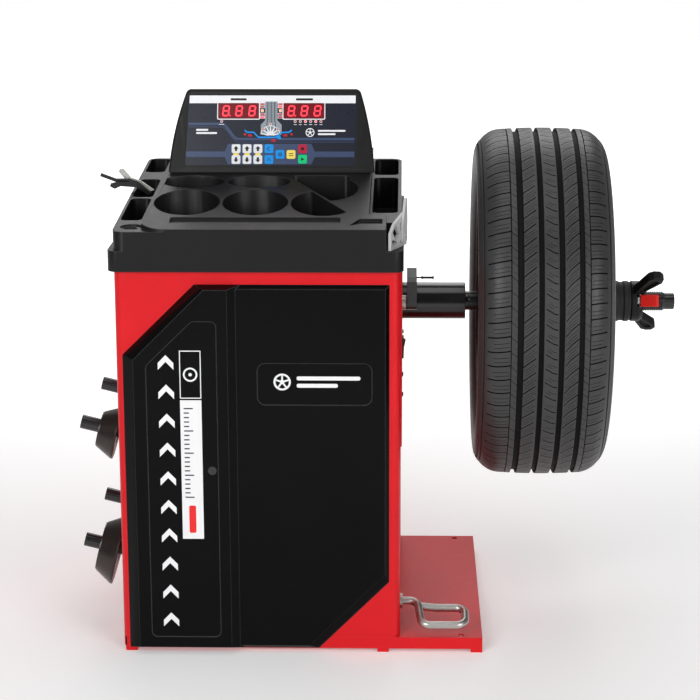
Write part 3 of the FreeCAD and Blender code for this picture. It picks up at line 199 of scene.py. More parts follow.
def surface(name, dark, light, rough, metal=0.0, grain=(900.0, 0.08, 0.0002), cloud=9.0, specular=0.5,
            scratches=0.0):
    """General finish: slow colour clouding, uneven gloss and a fine moulded or sprayed grain."""
    n = Nodes(name)
    n.set(metal=metal, specular=specular)
    clouding = n.noise(cloud, 4.0)
    tone = n.mix_colour(clouding, "Fac", dark, light)
    n.link(tone, 2, n.shader, "Base Color")
    gloss = n.noise(cloud * 5.0, 5.0)
    n.spread(gloss, "Fac", rough[0], rough[1], "Roughness")
    scale, strength, distance = grain
    fine = n.noise(scale, 2.0)
    under = n.bump(fine, "Fac", strength, distance)
    if scratches:
        streak = n.add("ShaderNodeTexNoise")
        stretch = n.add("ShaderNodeMapping")
        stretch.inputs["Scale"].default_value = (8.0, 420.0, 420.0)
        n.link(n.place, "Object", stretch, "Vector")
        n.link(stretch, "Vector", streak, "Vector")
        n.bump(streak, "Fac", scratches, 0.0001, under)
    return n


def painted(name, dark, light, rough, grain, specular, worn_and_highlight, wear_and_highlight_width):
    """Paint whose softened edges are mixed to a lighter colour: partly wear where it is rubbed thin, partly a
    painted highlight along the edges.
    """
    n = surface(name, dark, light, rough, grain=grain, specular=specular)
    tone = n.shader.inputs["Base Color"].links[0].from_node
    soft = n.add("ShaderNodeBevel", samples=4)
    soft.inputs["Radius"].default_value = wear_and_highlight_width
    geometry = n.add("ShaderNodeNewGeometry")
    turned = n.add("ShaderNodeVectorMath", operation="DOT_PRODUCT")
    n.link(soft, "Normal", turned, 0)
    n.link(geometry, "Normal", turned, 1)
    edge_wear_and_highlight_mask = n.add("ShaderNodeMapRange")
    for entry, value in (("From Min", 0.985), ("From Max", 0.80), ("To Min", 0.0), ("To Max", 0.75)):
        edge_wear_and_highlight_mask.inputs[entry].default_value = value
    n.link(turned, "Value", edge_wear_and_highlight_mask, "Value")
    # Lighter edge colour: wear together with a painted highlight where the edges would catch the light.
    mix = n.add("ShaderNodeMix", data_type="RGBA")
    n.link(edge_wear_and_highlight_mask, "Result", mix, 0)
    n.link(tone, 2, mix, 6)
    mix.inputs[7].default_value = worn_and_highlight
    n.link(mix, 2, n.shader, "Base Color")
    bump = n.shader.inputs["Normal"].links[0].from_node
    n.link(soft, "Normal", bump, "Normal")
    return n


def make_materials():
    floor = surface("floor", rgb(0.84, 0.84, 0.84), rgb(0.88, 0.88, 0.88), (0.6, 0.75),
                    grain=(40.0, 0.02, 0.001), cloud=1.0, specular=0.2)
    floor.set(glow_colour=rgb(1.0, 1.0, 1.0))
    split = floor.add("ShaderNodeSeparateXYZ")
    floor.link(floor.place, "Object", split, "Vector")
    sweep = floor.add("ShaderNodeMapRange", interpolation_type="SMOOTHSTEP")
    for entry, value in (("From Min", -0.2), ("From Max", 3.2), ("To Min", GLOW_NEAR), ("To Max", GLOW_FAR)):
        sweep.inputs[entry].default_value = value
    floor.link(split, "Y", sweep, "Value")
    floor.link(sweep, "Result", floor.shader, "Emission Strength")
    # The colour just before the edge width in each painted() call goes on the edges: wear together with a
    # painted highlight.
    painted("red_paint", rgb(0.58, 0.003, 0.008), rgb(0.70, 0.007, 0.013), (0.30, 0.42),
            (650.0, 0.10, 0.0003), 0.26, rgb(0.76, 0.04, 0.04), 0.0016)
    painted("panel_black", rgb(0.0024, 0.0024, 0.0026), rgb(0.0042, 0.0042, 0.0045), (0.16, 0.27),
            (220.0, 0.04, 0.0004), 0.07, rgb(0.11, 0.11, 0.115), 0.0022)
    painted("tray_black", rgb(0.0065, 0.0065, 0.0070), rgb(0.0100, 0.0100, 0.0105), (0.34, 0.46),
            (1500.0, 0.20, 0.0003), 0.20, rgb(0.07, 0.07, 0.07), 0.0022)
    painted("black_metal", rgb(0.006, 0.006, 0.007), rgb(0.014, 0.013, 0.014), (0.14, 0.26),
            (300.0, 0.05, 0.0003), 0.60, rgb(0.13, 0.13, 0.13), 0.0010)
    surface("dark_steel", rgb(0.018, 0.013, 0.012), rgb(0.060, 0.046, 0.040), (0.20, 0.40), metal=0.6,
            grain=(300.0, 0.30, 0.0006), scratches=0.12, specular=0.7)
    surface("machined_steel", rgb(0.40, 0.40, 0.42), rgb(0.56, 0.56, 0.57), (0.2, 0.36), metal=1.0,
            grain=(500.0, 0.05, 0.0002), scratches=0.25)
    surface("zinc_plate", rgb(0.34, 0.33, 0.31), rgb(0.66, 0.65, 0.62), (0.26, 0.50), metal=1.0,
            grain=(160.0, 0.14, 0.0006), cloud=28.0)
    # Its edge colour is wear together with a painted highlight on the rim's edges.
    painted("rim_black", rgb(0.008, 0.007, 0.007), rgb(0.018, 0.016, 0.015), (0.22, 0.34),
            (380.0, 0.05, 0.0003), 0.45, rgb(0.30, 0.30, 0.30), 0.0012)
    surface("tyre_rubber", rgb(0.022, 0.022, 0.0225), rgb(0.040, 0.040, 0.0405), (0.38, 0.52),
            grain=(1100.0, 0.22, 0.0004), cloud=14.0, specular=0.45)
    # Near-black rubber for the groove floors: painted shade in the recesses.
    surface("tyre_groove_painted_shade", rgb(0.0050, 0.0050, 0.0052), rgb(0.0085, 0.0085, 0.0088), (0.60, 0.80),
            grain=(1100.0, 0.22, 0.0004), cloud=14.0, specular=0.12)
    surface("black_rubber", rgb(0.012, 0.012, 0.012), rgb(0.024, 0.024, 0.024), (0.48, 0.66),
            grain=(900.0, 0.25, 0.0003), specular=0.3)
    surface("red_plastic", rgb(0.78, 0.010, 0.005), rgb(0.90, 0.018, 0.010), (0.30, 0.40),
            grain=(1200.0, 0.12, 0.0002), specular=0.35)
    surface("grey_plastic", rgb(0.43, 0.43, 0.44), rgb(0.56, 0.56, 0.57), (0.40, 0.55),
            grain=(1300.0, 0.15, 0.0003), cloud=30.0)
    surface("motor_alloy", rgb(0.30, 0.31, 0.32), rgb(0.42, 0.43, 0.44), (0.35, 0.5), metal=0.9,
            grain=(700.0, 0.25, 0.0004))
    surface("circuit_board", rgb(0.006, 0.07, 0.02), rgb(0.012, 0.11, 0.035), (0.3, 0.4),
            grain=(260.0, 0.2, 0.0003), cloud=120.0)
    for name, colour in (("key_white", (0.80, 0.81, 0.83)), ("key_blue", (0.0, 0.29, 0.80)),
                         ("key_yellow", (0.93, 0.74, 0.13)), ("key_red", (0.50, 0.010, 0.045)),
                         ("key_green", (0.0, 0.60, 0.20)), ("print_white", (0.86, 0.87, 0.90)),
                         ("membrane_print", (0.011, 0.014, 0.027)), ("print_slate", (0.045, 0.07, 0.15)),
                         ("print_blue", (0.0, 0.30, 0.85)), ("print_red", (0.50, 0.01, 0.03)),
                         ("print_grey", (0.30, 0.34, 0.38)), ("led_window", (0.16, 0.0, 0.008)),
                         ("decal_white", (0.84, 0.84, 0.85)), ("decal_red", (0.80, 0.02, 0.02)),
                         ("print_black", (0.010, 0.010, 0.012))):
        shade = [channel * 0.93 for channel in colour]
        surface(name, rgb(*shade), rgb(*colour), (0.24, 0.34), grain=(500.0, 0.02, 0.0001), cloud=40.0,
                specular=0.3)
    lamps = (("led_lit", (1.0, 0.03, 0.05), 1.6), ("led_amber", (1.0, 0.30, 0.05), 0.9))
    for name, colour, strength in lamps:
        lamp = surface(name, rgb(*colour), rgb(*colour), (0.3, 0.4))
        lamp.set(glow=strength, glow_colour=rgb(*colour))
    surface("led_unlit", rgb(0.26, 0.0, 0.012), rgb(0.30, 0.0, 0.016), (0.3, 0.4))


# --- mesh helpers ---
def piece(name, vertices, faces, material, body, smooth=None):
    """Mesh object that rides on a body; `smooth` is the angle in degrees up to which it shades smooth."""
    mesh = bpy.data.meshes.new(name)
    mesh.from_pydata([tuple(vertex) for vertex in vertices], [], faces)
    if smooth is not None:
        mesh.shade_smooth()
        mesh.set_sharp_from_angle(angle=math.radians(smooth))
    mesh.materials.append(MATERIALS[material])
    made = bpy.data.objects.new(name, mesh)
    bpy.context.collection.objects.link(made)
    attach(made, body)
    return made


def arc_through(a, b, c, count):
    """Points on the circle through a, b and c, from a to c."""
    (ax, ay), (bx, by), (cx, cy) = a, b, c
    d = 2 * (ax * (by - cy) + bx * (cy - ay) + cx * (ay - by))
    a2, b2, c2 = ax * ax + ay * ay, bx * bx + by * by, cx * cx + cy * cy
    ox = (a2 * (by - cy) + b2 * (cy - ay) + c2 * (ay - by)) / d
    oy = (a2 * (cx - bx) + b2 * (ax - cx) + c2 * (bx - ax)) / d
    radius = math.hypot(ax - ox, ay - oy)
    start, through, end = [math.atan2(y - oy, x - ox) for x, y in (a, b, c)]
    full = 2 * math.pi
    if (through - start) % full > (end - start) % full:
        sweep = (end - start) % full - full
    else:
        sweep = (end - start) % full
    angles = [start + sweep * i / count for i in range(count + 1)]
    return [(ox + radius * math.cos(angle), oy + radius * math.sin(angle)) for angle in angles]


# --- tyre ---
PITCHES = 76
GROOVE_DEPTH = 7.0
# Depth in mm past which tread faces take the dark groove colour, a painted shade.
GROOVE_SHADE = 1.2
GROOVES = ((-51.5, -41.0), (-15.5, -6.5), (19.0, 28.5), (53.5, 62.5))
TREAD_HALF = 72.0
TREAD_DROP = 2.4
SHOULDER_EDGE = 107.0
SHOULDER_DROP = 18.6


class Tyre:
    """Tread, shoulders and sidewalls, in millimetres from the wheel's middle."""

    def __init__(self):
        low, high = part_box("tyre")
        self.middle = (low + high) / 2
        self.crown = (high.z - low.z) / 2 / MM
        self.half = (high.x - low.x) / 2 / MM
        self.vertices = []
        self.faces = []

    def place(self, x, radius, along):
        """Point at x across the tyre, at a radius, a distance `along` the tread upwards from the front."""
        angle = along / self.crown
        return Vector((self.middle.x + x * MM, self.middle.y - radius * MM * math.cos(angle),
                       self.middle.z + radius * MM * math.sin(angle)))

    def radius(self, x):
        """Radius of the tread at x, rounded off at the shoulders."""
        if abs(x) <= TREAD_HALF:
            return self.crown - TREAD_DROP * (x / TREAD_HALF) ** 2
        share = min(1.0, (abs(x) - TREAD_HALF) / (SHOULDER_EDGE - TREAD_HALF))
        return self.crown - TREAD_DROP - SHOULDER_DROP * (0.16 * share + 0.84 * share ** 2.4)

    def grid(self, columns, rows):
        """Join columns of points (one per step round the tyre) into a closed band of quads."""
        first = len(self.vertices)
        for column in columns:
            self.vertices.extend(column)
        count = len(columns)
        for i in range(count):
            a = first + i * rows
            b = first + (i + 1) % count * rows
            for j in range(rows - 1):
                self.faces.append((a + j, a + j + 1, b + j + 1, b + j))

    def band(self, points, steps=228):
        """Plain band round the tyre through points (x, radius)."""
        length = 2 * math.pi * self.crown
        columns = [[self.place(x, r, length * i / steps) for x, r in points] for i in range(steps)]
        self.grid(columns, len(points))

    def rib(self, x_low, x_high, cuts, slant, walls=(GROOVE_DEPTH, GROOVE_DEPTH)):
        """One rib with its cuts: (start, width, depth, from x, to x), each leaning along slant(x)."""
        xs = {x_low, x_low + 0.7, x_high - 0.7, x_high}
        for _, _, _, x_from, x_to in cuts:
            xs |= {x for x in (x_from - 0.35, x_from, x_to, x_to + 0.35) if x_low < x < x_high}
        step = 4.0 if abs(x_low) > 60 else 5.5
        for i in range(1, int((x_high - x_low) / step)):
            xs.add(x_low + i * step)
        across = [(x_low, walls[0])] + [(x, 0.5 if x in (x_low, x_high) else 0.0) for x in sorted(xs)]
        across.append((x_high, walls[1]))
        pitch = 2 * math.pi * self.crown / PITCHES
        stops = []
        for number, (start, width, _, _, _) in enumerate(cuts):
            base = start * pitch
            stops += [(base, None), (base + 0.14 * width, number)]
            stops += [(base + 0.86 * width, number), (base + width, None)]
        stops.sort(key=lambda stop: stop[0])
        filled = []
        for here, following in zip(stops, stops[1:] + [(stops[0][0] + pitch, None)]):
            filled.append(here)
            gap = following[0] - here[0]
            for i in range(1, int(gap / 6.5) + 1):
                filled.append((here[0] + gap * i / (int(gap / 6.5) + 1), here[1]))
        columns = []
        for turn in range(PITCHES):
            for along, number in filled:
                column = []
                for x, drop in across:
                    depth = drop
                    if number is not None:
                        _, _, cut, x_from, x_to = cuts[number]
                        if x_from <= x <= x_to:
                            depth = max(drop, cut)
                    column.append(self.place(x, self.radius(x) - depth, turn * pitch + along + slant(x)))
                columns.append(column)
        self.grid(columns, len(across))


def make_tyre():
    tyre = Tyre()
    deep, thin = 5.5, 3.0
    edge = SHOULDER_EDGE - 0.3

    def bent(origin, bend, before, after):
        """Lean that changes slope where x passes the bend."""
        return lambda x: (min(x, bend) - origin) * before + max(0.0, x - bend) * after

    inner_left = [(0.10, 2.2, deep, -41.5, -20.0), (0.38, 0.8, thin, -37.5, -22.0),
                  (0.58, 0.8, thin, -37.5, -18.0), (0.78, 0.8, thin, -39.0, -22.0)]
    centre = [(0.10, 1.9, deep, -3.0, 16.5), (0.42, 0.7, thin, -2.0, 8.0), (0.60, 0.7, thin, 2.0, 16.0)]
    inner_right = [(0.10, 2.1, deep, 31.0, 54.0), (0.36, 0.8, thin, 34.0, 50.0),
                   (0.56, 0.8, thin, 30.0, 48.0), (0.78, 0.8, thin, 35.0, 51.0)]
    tyre.rib(GROOVES[0][1], GROOVES[1][0], inner_left, bent(-41.0, -20.0, 0.80, -0.75))
    tyre.rib(GROOVES[1][1], GROOVES[2][0], centre, bent(-6.5, 14.0, -0.62, 0.55))
    tyre.rib(GROOVES[2][1], GROOVES[3][0], inner_right, bent(28.5, 38.0, 1.35, 0.85))
    for low, high in GROOVES:
        floor = tyre.crown - GROOVE_DEPTH - 0.1
        tyre.band([(low - 0.2, floor), ((low + high) / 2, floor - 0.2), (high + 0.2, floor)])
    narrow = [(0.15, 1.1, thin, -80.0, 80.0), (0.62, 0.8, 2.0, -57.0, 67.0)]
    tyre.rib(-61.5, GROOVES[0][0], narrow, lambda x: -0.85 * (x + 61.5), (thin, GROOVE_DEPTH))
    tyre.rib(GROOVES[3][1], 71.5, narrow, lambda x: -0.85 * (x - 62.5), (GROOVE_DEPTH, thin))
    for low, high in ((-62.9, -61.4), (71.4, 72.9)):
        floor = tyre.radius(low) - thin - 0.1
        tyre.band([(low - 0.1, floor), (high + 0.1, floor)])
    left = [(0.10, 2.4, deep, -101.0, -62.0), (0.42, 0.8, thin, -90.0, -64.5),
            (0.70, 0.8, thin, -92.0, -64.5)]
    right = [(0.35, 2.4, deep, 72.0, 101.0), (0.64, 0.8, thin, 74.5, 92.0), (0.90, 0.8, thin, 74.5, 94.0)]
    tyre.rib(-edge, -62.8, left, lambda x: 0.13 * (x + 80) + 0.0016 * (x + 82) ** 2, (0.6, thin))
    tyre.rib(72.8, edge, right, lambda x: 0.10 * (x - 80) - 0.0016 * (x - 88) ** 2, (thin, 0.6))

    flank = arc_through((SHOULDER_EDGE, 296.0), (tyre.half, 268.0), (96.0, 238.0), 34)
    outline = [(edge - 0.6, tyre.radius(edge) - 0.9), (edge + 0.3, tyre.radius(edge) - 3.0)]
    for x, r in flank[1:]:
        sink = 0.0
        if 284.0 < r < 291.0 or 244.0 < r < 247.5:
            sink = 0.7
        outline.append((x - sink, r))
    outline += [(96.0, 226.0), (95.5, 219.9), (88.0, 219.7)]
    tyre.band([(x, r) for x, r in outline], 300)
    tyre.band([(-x, r) for x, r in reversed(outline)], 300)
    shell = piece("tyre_tread", tyre.vertices, tyre.faces, "tyre_rubber", "spindle", 32)
    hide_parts("tyre")
    shell.data.materials.append(MATERIALS["tyre_groove_painted_shade"])
    # Faces sunk into the grooves take the darker colour: painted shade.
    for polygon in shell.data.polygons:
        offset = (polygon.center - tyre.middle) / MM
        sunk = tyre.radius(offset.x) - math.hypot(offset.y, offset.z)
        if abs(offset.x) < SHOULDER_EDGE - 4 and sunk > GROOVE_SHADE:
            polygon.material_index = 1
    serrate(tyre)


def serrate(tyre):
    """Fine raised ribs round the sidewall, between the two sunk rings."""
    vertices, faces = [], []
    count = 360
    flank = arc_through((SHOULDER_EDGE, 296.0), (tyre.half, 268.0), (96.0, 238.0), 60)
    band = [(x, r) for x, r in flank if 285.0 < r < 290.5]
    for side in (-1, 1):
        for i in range(count):
            along = 2 * math.pi * tyre.crown * i / count
            for width in (-0.9, 0.9):
                for x, r in band:
                    vertices.append(tyre.place(side * (x - 0.7), r, along + width))
            for x, r in band:
                vertices.append(tyre.place(side * (x - 0.15), r, along))
            n = len(band)
            base = len(vertices) - 3 * n
            for j in range(n - 1):
                a, b, c = base + j, base + n + j, base + 2 * n + j
                faces.append((a, a + 1, c + 1, c) if side > 0 else (c, c + 1, a + 1, a))
                faces.append((c, c + 1, b + 1, b) if side > 0 else (b, b + 1, c + 1, c))
    piece("tyre_serrations", vertices, faces, "tyre_rubber", "spindle")


# --- console print ---
FACE_TILT = math.radians(17.0)
SHEET_T = 1.6 * MM
SHEET_W = 307.0
TOP_OVERHANG = 2.0
KEY_RISE = 1.0
INK = 0.12
KEY_BAY_INK = 0.05
OVAL_INK = 0.08


class Face:
    """Flat artwork on the console: u across from the middle and v up from the lower edge, in millimetres."""

    def __init__(self):
        low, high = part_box("membrane_panel")
        self.up = Vector((0.0, math.sin(FACE_TILT), math.cos(FACE_TILT)))
        self.out = Vector((0.0, -math.cos(FACE_TILT), math.sin(FACE_TILT)))
        middle_x = high.x - (SHEET_W / 2 + TOP_OVERHANG) * MM
        self.corner = Vector((middle_x, low.y, low.z + SHEET_T * math.sin(FACE_TILT)))
        self.height = (high.z - low.z - SHEET_T * math.sin(FACE_TILT)) / MM / math.cos(FACE_TILT)

    def at(self, u, v, lift):
        return self.corner + Vector((u * MM, 0, 0)) + self.up * (v * MM) + self.out * (lift * MM)

    def print(self, name, polygons, material, slot="membrane_print", body="cabinet", lift=INK):
        """Polygons of (u, v) points as one thin printed layer."""
        vertices, faces = [], []
        for polygon in polygons:
            first = len(vertices)
            vertices.extend(self.at(u, v, lift) for u, v in polygon)
            faces.append(tuple(range(first, first + len(polygon))))
        return piece(name, vertices, faces, material, body)


def rectangle(u0, v0, u1, v1):
    return [(u0, v0), (u1, v0), (u1, v1), (u0, v1)]


def rounded(u0, v0, u1, v1, r, steps=5):
    points = []
    corners = ((u1 - r, v1 - r, 0), (u0 + r, v1 - r, 90), (u0 + r, v0 + r, 180), (u1 - r, v0 + r, 270))
    for cu, cv, start in corners:
        for i in range(steps + 1):
            angle = math.radians(start + 90 * i / steps)
            points.append((cu + r * math.cos(angle), cv + r * math.sin(angle)))
    return points


def disc(u, v, r, steps=20):
    return [(u + r * math.cos(2 * math.pi * i / steps), v + r * math.sin(2 * math.pi * i / steps))
            for i in range(steps)]


def ring_parts(u, v, r_in, r_out, steps=28, start=0.0, sweep=360.0):
    """Ring or arc as quads."""
    quads = []
    for i in range(steps):
        a, b = [math.radians(start + sweep * (i + k) / steps) for k in (0, 1)]
        corners = ((r_in, a), (r_out, a), (r_out, b), (r_in, b))
        quads.append([(u + r * math.cos(angle), v + r * math.sin(angle)) for r, angle in corners])
    return quads


def stroke(points, width):
    """Quads of one width along a line of points."""
    quads = []
    sides = []
    for i, (u, v) in enumerate(points):
        before = points[max(i - 1, 0)]
        after = points[min(i + 1, len(points) - 1)]
        along = Vector((after[0] - before[0], after[1] - before[1])).normalized()
        offset = Vector((-along.y, along.x)) * width / 2
        sides.append(((u + offset.x, v + offset.y), (u - offset.x, v - offset.y)))
    for (a, b), (c, d) in zip(sides, sides[1:]):
        quads.append([b, d, c, a])
    return quads


DIGIT_W = 12.6
DIGIT_H = 19.6
DIGIT_STROKE = 2.3
DIGIT_LEAN = 0.13
DIGIT_GAP = 0.35
DIGIT_PITCH = 23.6
DISPLAY_W = 74.0
DISPLAY_LOW = 85.0
DISPLAY_HIGH = 113.5


def digit_segments(cu, cv):
    """The seven bars of one leaning digit, all lit."""
    t = DIGIT_STROKE / 2
    w, h = DIGIT_W / 2 - t, DIGIT_H / 2 - t

    def bar(x0, y0, x1, y1):
        along = Vector((x1 - x0, y1 - y0)).normalized()
        across = Vector((-along.y, along.x)) * t
        a = Vector((x0, y0)) + along * DIGIT_GAP
        b = Vector((x1, y1)) - along * DIGIT_GAP
        outline = [a, a + along * t + across, b - along * t + across, b,
                   b - along * t - across, a + along * t - across]
        return [(cu + p.x + DIGIT_LEAN * p.y, cv + p.y) for p in reversed(outline)]

    return [bar(-w, h, w, h), bar(w, h, w, 0), bar(w, 0, w, -h), bar(-w, -h, w, -h),
            bar(-w, 0, -w, -h), bar(-w, h, -w, 0), bar(-w, 0, w, 0)]


def make_display(face, name, u0):
    """Red window with three leaning digits and their points, of which the first is lit."""
    u1, v0, v1 = u0 + DISPLAY_W, DISPLAY_LOW, DISPLAY_HIGH
    middle = (v0 + v1) / 2
    frame_outline = rounded(u0 - 1.7, v0 - 1.7, u1 + 1.7, v1 + 1.7, 2.6)
    face.print(name + "_frame", [frame_outline], "print_white", lift=INK * 2)
    face.print(name + "_window", [rounded(u0, v0, u1, v1, 1.2)], "led_window", lift=INK * 3)
    lit, unlit = [], []
    for index in range(3):
        cu = u0 + 14.4 + DIGIT_PITCH * index
        lit += digit_segments(cu, middle)
        point = disc(cu + DIGIT_W / 2 + 0.6, middle - DIGIT_H / 2 + 1.2, 1.3, 12)
        (lit if index == 0 else unlit).append(point)
    face.print(name + "_digits", lit, "led_lit", lift=INK * 4)
    face.print(name + "_dark_digits", unlit, "led_unlit", lift=INK * 4)


def make_console_print():
    face = Face()
    half = SHEET_W / 2
    band_top = face.height - 1.2
    band = [(-half + 7.0, 113.2), (half + 0.4, 113.2), (half + 0.5, band_top), (-half + 7.6, band_top)]
    face.print("print_top_band", [band], "print_white")
    swoosh = [(-half + 5.5, 75.5), (-88.0, 75.5)]
    for i in range(1, 12):
        share = i / 12
        smooth = share * share * (3 - 2 * share)
        swoosh.append((-88.0 + 30.0 * share, 75.5 - 27.5 * smooth))
    swoosh += [(-55.0, 48.0), (half - 1.5, 48.0)]
    face.print("print_swoosh", stroke(swoosh, 4.6), "print_slate")
    face.print("print_swoosh_line", stroke([(u, v - 5.4) for u, v in swoosh], 1.1), "print_slate")
    bay = [(-82.0, 15.3), (-76.0, 2.2), (74.5, 2.2), (80.5, 15.3), (80.5, 25.4), (74.5, 39.4),
           (-76.0, 39.4), (-82.0, 25.4)]
    wings = [rectangle(-half + 1.5, 15.3, -82.0, 25.4), rectangle(80.5, 15.3, half - 1.5, 25.4)]
    face.print("print_key_bay", [bay] + wings, "print_slate", lift=KEY_BAY_INK)
    bars = [rounded(-72.0, 118.4, -43.0, 122.2, 1.4), rounded(46.0, 118.4, 77.0, 122.2, 1.4)]
    face.print("print_band_bars", bars, "print_black", lift=INK * 2)
    make_display(face, "inner_display", -94.5)
    make_display(face, "outer_display", 23.6)

    wide_part = [(-17.0, 56.0), (20.5, 56.0), (20.5, 74.0), (12.8, 82.0), (-9.5, 82.0), (-17.0, 74.0)]
    face.print("tread_picture", [rectangle(-9.5, 82.0, 12.8, 116.3), wide_part], "print_grey", lift=INK * 2)
    lines = [stroke([(u * 1.45, 57.0), (u * 1.3, 74.0), (u, 83.0), (u, 116.0)], 1.1)
             for u in (-6.0, 0.0, 6.0)]
    marks = []
    for row in range(17):
        v = 59.0 + row * 3.3
        for u in (-7.5, -2.3, 2.9, 8.1):
            marks.append([(u, v), (u + 2.6, v + 1.2), (u + 2.6, v + 1.9), (u, v + 0.7)])
    shifted = [[(u + 1.6, v) for u, v in quad] for line in lines for quad in line]
    face.print("tread_picture_lines", shifted + marks, "print_black", lift=INK * 3)
    spokes = []
    for angle in (12, 38, 64, 90, 116, 142, 168):
        direction = Vector((math.cos(math.radians(angle)), math.sin(math.radians(angle))))
        across = Vector((-direction.y, direction.x))
        near, far = direction * 4.0, direction * 17.0
        middle = Vector((0.5, 54.5))
        spokes.append([tuple(middle + near + across * 1.6), tuple(middle + near - across * 1.6),
                       tuple(middle + far - across * 0.7), tuple(middle + far + across * 0.7)])
    spokes += ring_parts(0.5, 54.5, 0.0, 4.4, 14, 0, 180)
    spokes += ring_parts(0.5, 54.5, 17.0, 18.2, 24, 8, 164)
    face.print("wheel_picture", spokes, "print_white", lift=INK * 4)
    rim_line = [(-46.0, 64.5), (-42.0, 60.3), (-30.0, 60.3), (-21.0, 51.2), (9.5, 51.2), (20.0, 59.8),
                (33.5, 60.2), (39.0, 64.2)]
    face.print("rim_line", stroke(rim_line, 2.6) + [[(11.0, 51.5), (17.0, 56.5), (20.5, 48.0), (15.0, 48.0)]],
               "print_blue", lift=INK * 5)
    red = [disc(-45.5, 56.6, 2.3), disc(38.6, 56.6, 2.3), rectangle(-40.0, 52.6, -33.0, 56.6),
           rectangle(24.0, 52.6, 31.0, 56.6), rectangle(2.0, 43.0, 10.0, 47.6)]
    face.print("print_red_marks", red, "print_red", lift=INK * 5)
    white, dots, glow = [], [], []
    for u, v in ((-13.0, 66.0), (0.5, 75.0), (13.5, 66.0), (-88.0, 80.0)):
        white.append(disc(u, v, 2.4))
        dots.append(disc(u, v, 1.6))
    for index in range(6):
        u = 45.0 + 9.3 * index
        white.append(disc(u, 80.0, 2.5))
        (glow if index in (2, 4) else dots).append(disc(u, 80.0, 1.7))
        white.append(rectangle(u - 2.6, 73.8, u + 2.6, 74.7))
    white.append(rectangle(-93.0, 74.3, -83.5, 75.2))
    for u in (-14.4, 18.2):
        for v in (111.5, 106.5, 99.7, 93.3, 87.7):
            if v == 99.7:
                white.append(disc(u, v, 2.8))
                continue
            white.append(rectangle(u - 4.7, v - 2.1, u + 4.7, v + 2.1))
            bright = (u > 0 and v == 106.5) or (u < 0 and v == 87.7)
            (glow if bright else dots).append(rectangle(u - 3.9, v - 1.4, u + 3.9, v + 1.4))
    face.print("lamp_frames", white, "print_white", lift=INK * 4)
    face.print("lamps_off", dots, "print_red", lift=INK * 5)
    face.print("lamps_on", glow, "led_lit", lift=INK * 5)
    face.print("lamps_middle", [disc(-14.4, 99.7, 1.9), disc(18.2, 99.7, 1.9)], "led_amber", lift=INK * 5)

    icon = ring_parts(72.0, 60.0, 6.4, 8.0) + ring_parts(72.0, 60.0, 0.0, 2.2, 14)
    for turn in range(5):
        angle = math.radians(90 + 72 * turn)
        direction = Vector((math.cos(angle), math.sin(angle)))
        across = Vector((-direction.y, direction.x)) * 0.7
        middle = Vector((72.0, 60.0))
        icon.append([tuple(middle + direction * 2 + across), tuple(middle + direction * 2 - across),
                     tuple(middle + direction * 6.6 - across), tuple(middle + direction * 6.6 + across)])
    icon += [rounded(86.0, 61.4, 136.0, 64.6, 1.5), rounded(86.0, 55.4, 118.0, 58.6, 1.5)]
    icon += [rounded(-134.0, 57.2, -96.0, 60.6, 1.6), rounded(-134.0, 63.0, -112.0, 66.4, 1.6)]
    face.print("print_icons", icon, "print_white", lift=INK * 2)
    make_key_faces(face)


def make_key_faces(face):
    """Arrows and simple signs on the keys, and the ovals between the arrow keys."""
    top = KEY_RISE + INK

    def middle(key):
        low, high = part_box(key)
        centre = (low + high) / 2 - face.corner
        return centre.x / MM, centre.dot(face.up) / MM

    for column in ("left", "middle", "right"):
        for way, sign in (("up", 1), ("down", -1)):
            key = "key_" + way + "_" + column
            u, v = middle(key)
            arrow = [(u - 4.6, v), (u + 4.6, v), (u, v + sign * 5.0)]
            foot, head = v - sign * 4.2, v + sign * 0.1
            stem = [(u - 2.0, foot), (u + 2.0, foot), (u + 2.0, head), (u - 2.0, head)]
            if sign < 0:
                arrow.reverse()
                stem.reverse()
            face.print("arrow_" + way + "_" + column, [arrow, stem], "print_black", "key_white",
                       key + "_cap", top)
        u_up, v_up = middle("key_up_" + column)
        v_down = middle("key_down_" + column)[1]
        oval = [(u_up + 5.2 * math.cos(a), (v_up + v_down) / 2 + 3.1 * math.sin(a))
                for a in (2 * math.pi * i / 24 for i in range(24))]
        face.print("oval_" + column, [oval], "key_yellow", lift=OVAL_INK)
    signs = {"key_blue_upper": lambda u, v: ring_parts(u, v, 2.2, 3.5, 20, 60, 240),
             "key_blue_lower": lambda u, v: stroke([(u - 3, v - 2.6), (u, v + 2.8), (u + 3, v - 2.6)], 1.2),
             "key_blue_right": lambda u, v: ring_parts(u, v, 2.2, 3.4) + [disc(u, v, 1.0, 12)],
             "key_yellow": lambda u, v: stroke([(u - 4, v + 1.6), (u + 4, v + 1.6)], 1.2)
             + stroke([(u - 4, v - 1.8), (u + 4, v - 1.8)], 1.2),
             "key_stop": lambda u, v: [rectangle(u - 2.6, v - 2.6, u + 2.6, v + 2.6)],
             "key_start": lambda u, v: [[(u - 2.4, v - 3.2), (u + 3.4, v), (u - 2.4, v + 3.2)]]}
    finish = {"key_blue_upper": "key_blue", "key_blue_lower": "key_blue", "key_blue_right": "key_blue",
              "key_yellow": "key_yellow", "key_stop": "key_red", "key_start": "key_green"}
    for key, draw in signs.items():
        face.print("sign_" + key[4:], draw(*middle(key)), "print_black", finish[key], key + "_cap", top)


